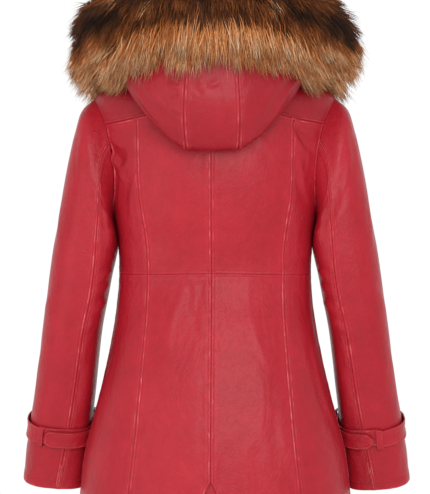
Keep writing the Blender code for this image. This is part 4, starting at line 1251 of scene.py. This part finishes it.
def lay_locks(name, paths, wide, tuft_of, clump, tone_shift, tipped):
    """A piece of fur of many locks; those of one tuft draw together towards their tips."""
    paths[..., 1] -= FLATTENED * np.maximum(paths[..., 1] - FLAT_FROM, 0)
    count = tuft_of.max() + 1
    sums = np.zeros((count, 4, 3))
    np.add.at(sums, tuft_of, paths)
    middles = sums / np.maximum(np.bincount(tuft_of, minlength=count), 1)[:, None, None]
    paths = paths + (middles[tuft_of] - paths) * (np.array(LOCK_DRAWN) * clump)[None, :, None]
    tangent = unit(np.gradient(paths, axis=1))
    one = unit(np.cross(tangent, luck.normal(0, 1, (len(paths), 1, 3))))
    two = np.cross(tangent, one)
    ring = np.clip(np.round(model_points[:, 2]).astype(int), 0, 3)
    turn = np.arctan2(model_points[:, 1], model_points[:, 0])
    radius = wide[:, None] * np.array(LOCK_TAPER)[ring][None, :]
    points = paths[:, ring] + one[:, ring] * (np.cos(turn) * radius)[..., None]
    points = points + two[:, ring] * (np.sin(turn) * radius)[..., None]
    # root deep in the underwool, then the pelt's own tone, a pale band and, on many locks, a dark tip
    greyed, marked, chance = luck.random((3, len(paths)))
    base = pelt_tone(paths[:, 2], np.where(greyed < 0.3, 0.8, 0.0), np.where(marked < 0.09, 0.55, 1.0))
    base = base * (1 + 1.5 * tone_shift)
    dark_tip, lit = chance < tipped, chance > 0.76
    tip = np.where(dark_tip, 0.22, np.where(lit, 1.38, 1.06))
    tones = np.stack([base * 0.55, base * 0.94, base * np.where(lit, 1.22, 1.02), base * tip], axis=1)
    piece = repeated(name, one_lock, points)
    mark(piece, "pelt", tone_colour(tones[:, ring]), "FLOAT_COLOR", "color")
    piece.data.materials.append(PELT)
    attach(piece, "root")


def plant(tufts, each, first, last, low, high, jitter):
    """Roots in tufts over part of the trim: directions, angles, and the tuft each belongs to."""
    centre_way, centre_turn = luck.uniform(first, last, tufts), luck.uniform(low, high, tufts)
    tuft_of = np.repeat(np.arange(tufts), each)
    way = centre_way[tuft_of] + luck.normal(0, jitter, tufts * each)
    turn = centre_turn[tuft_of] + luck.normal(0, jitter * 2.4, tufts * each)
    return np.clip(way, -FUR_LAST + 1, FUR_LAST - 1), turn, tuft_of


def rim_turn(way):
    """Where on the fur's section the leather's edge ends."""
    return np.interp(np.abs(way), [row[0] for row in HOOD_ROWS], [row[-1] for row in HOOD_ROWS])


# the underwool: the trim's own body under the hair
end_ways = np.array([164.0, 166.5, FUR_LAST])
core_ways = np.concatenate([-end_ways[::-1], np.linspace(-160, 160, 110), end_ways])
core_turns, core_ways = np.meshgrid(np.linspace(0, 360, 41), core_ways)
core_scale = np.interp(np.abs(core_ways), (0, 160, *end_ways), (0.66, 0.60, 0.46, 0.26, 0.0))
past_rim = (core_turns - rim_turn(core_ways) + 180) % 360 - 180
core_scale = core_scale * (1 + 0.66 * np.exp(-((past_rim / 32) ** 2)))  # fuller along the leather's edge
core_round = np.radians(core_turns)
lumps = 1 + 0.05 * np.sin(core_ways * 0.9 + 3 * np.sin(core_round * 3)) * np.cos(core_round * 5)
core_points = fur_point(core_ways, core_turns, np.minimum(core_scale * lumps, 0.985))
underwool = laid_grid("fur_underwool", core_points)
mark(underwool, "pelt", tone_colour(pelt_tone(core_points) * 0.5), "FLOAT_COLOR", "color")
bpy.ops.object.mode_set(mode="EDIT")
bpy.ops.mesh.select_all(action="SELECT")
bpy.ops.mesh.remove_doubles(threshold=0.0002)
bpy.ops.mesh.normals_make_consistent(inside=False)
bpy.ops.object.mode_set(mode="OBJECT")
bpy.ops.object.shade_smooth()
underwool.data.materials.append(PELT)
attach(underwool, "root")
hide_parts("fur_trim")

# name, tufts, locks in each, from and to along the trim, from and to round its section,
# length, half thickness, spread of a tuft, how deep the roots are, how far a tuft draws together
FUR_FIELDS = (
    ("fur_fringe", 250, 20, -78, 78, 0, 26, 0.057, 0.00066, 2.6, 0.84, 0.70),
    ("fur_back_low", 290, 20, -66, 66, -40, 40, 0.052, 0.00074, 2.7, FUR_CORE, 0.70),
    ("fur_back_high", 260, 20, -66, 66, 30, 135, 0.045, 0.00078, 2.9, FUR_CORE, 0.70),
    ("fur_left_side", 325, 20, 55, 120, -150, 140, 0.044, 0.00082, 3.0, FUR_CORE, 0.65),
    ("fur_right_side", 325, 20, -120, -55, -150, 140, 0.044, 0.00082, 3.0, FUR_CORE, 0.65),
    ("fur_neck_side", 160, 13, -120, 120, 130, 215, 0.036, 0.00120, 4.2, FUR_CORE, 0.45),
    ("fur_left_end", 140, 13, 112, 167, -180, 180, 0.036, 0.00115, 4.2, FUR_CORE, 0.35),
    ("fur_right_end", 140, 13, -167, -112, -180, 180, 0.036, 0.00115, 4.2, FUR_CORE, 0.35),
)
SIDE_SHORT = ((0, 120, 150, 167), (1.0, 1.0, 0.9, 0.6))  # how long the hair is along the trim
FRINGE_SHORT = ((0, 9, 20, 45, 70), (1.36, 1.30, 1.12, 1.0, 0.8))  # the same along the leather's edge
FINE_SHARE, FINE_LONG, FINE_THIN, CORNER_LONG = 0.14, 1.34, 0.55, 0.42
for name, tufts, each, first, last, low, high, long, wide, jitter, rooted, clump in FUR_FIELDS:
    fringe = name == "fur_fringe"
    way, turn, tuft_of = plant(tufts, each, first, last, low, high, jitter)
    if fringe:  # rooted along the edge of the leather
        turn = turn + rim_turn(way)
    tuft_long = luck.uniform(0.74, 1.18, tufts)[tuft_of]
    end_short = np.interp(np.abs(way), *(FRINGE_SHORT if fringe else SIDE_SHORT))
    # the hair at the two lower corners is the longest
    corner = np.exp(-(((np.abs(way) - 92) / 17) ** 2) - (((turn + 72) / 45) ** 2))
    tuft_long = tuft_long * (1 + CORNER_LONG * corner)
    fine = luck.random(len(way)) < FINE_SHARE
    lengths = long * tuft_long * end_short * luck.uniform(0.82, 1.12, len(way))
    lengths = lengths * np.where(fine, FINE_LONG, 1.0)
    thick = wide * luck.uniform(0.6, 1.25, len(way)) * np.where(fine, FINE_THIN, 1.0)
    shift = luck.normal(0, 0.085, tufts)[tuft_of] + luck.normal(0, 0.075, len(way))
    tipped = np.where(fine, 0.76, 0.50 if fringe else 0.34)
    paths = lock_paths(way, turn, lengths, np.where(fine, 0.48, 0.24), rooted)
    lay_locks(name, paths, thick, tuft_of, clump, shift, tipped)
bpy.data.objects.remove(one_lock, do_unlink=True)


# ---- Studio ----
# A pale floor well below the hem, an even white surround, and large soft lamps, mostly from the
# camera's side. The camera stands level behind the coat, about 2.6 m away.

bpy.ops.object.select_all(action="DESELECT")
bpy.ops.mesh.primitive_plane_add(size=6.0, location=(0, 0, -1.40))
floor = bpy.context.object
floor.name = "studio_floor"
pale = bpy.data.materials.new("pale_floor")
pale.use_nodes = True
paint = pale.node_tree.nodes["Principled BSDF"].inputs
paint["Base Color"].default_value, paint["Roughness"].default_value = (0.82, 0.82, 0.82, 1), 0.7
floor.data.materials.append(pale)

studio = bpy.context.scene
studio.world = bpy.data.worlds.new("white_surround")
studio.world.use_nodes = True
surround = studio.world.node_tree.nodes["Background"].inputs
surround["Color"].default_value, surround["Strength"].default_value = (1, 1, 1, 1), 0.80

AIM = Vector((0, 0, -0.30))
# name, place, width, height, power
LAMPS = (
    ("key", (-0.35, 2.85, 0.4), 1.6, 1.4, 32.0),
    ("fill", (1.9, 2.2, -0.6), 1.2, 1.8, 10.0),
    ("top", (0.1, 0.5, 2.2), 1.6, 1.2, 2.0),
)
for label, spot, wide, high, power in LAMPS:
    light = bpy.data.lights.new(label, "AREA")
    light.shape, light.size, light.size_y, light.energy = "RECTANGLE", wide, high, power
    lamp = bpy.data.objects.new(label, light)
    lamp.location = spot
    lamp.rotation_euler = (AIM - Vector(spot)).to_track_quat("-Z", "Y").to_euler()
    studio.collection.objects.link(lamp)

DISTANCE, YAW, EYE_LEVEL = 2.6, math.radians(1.5), -0.274
lens = bpy.data.cameras.new("camera")
lens.lens, lens.sensor_width = 117.0, 36.0
camera = bpy.data.objects.new("camera", lens)
camera.location = (-DISTANCE * math.sin(YAW), DISTANCE * math.cos(YAW), EYE_LEVEL)
camera.rotation_euler = (math.radians(90), 0, math.radians(180) + YAW)
studio.collection.objects.link(camera)
studio.camera = camera
studio.view_settings.view_transform, studio.view_settings.exposure = "Standard", 0.35
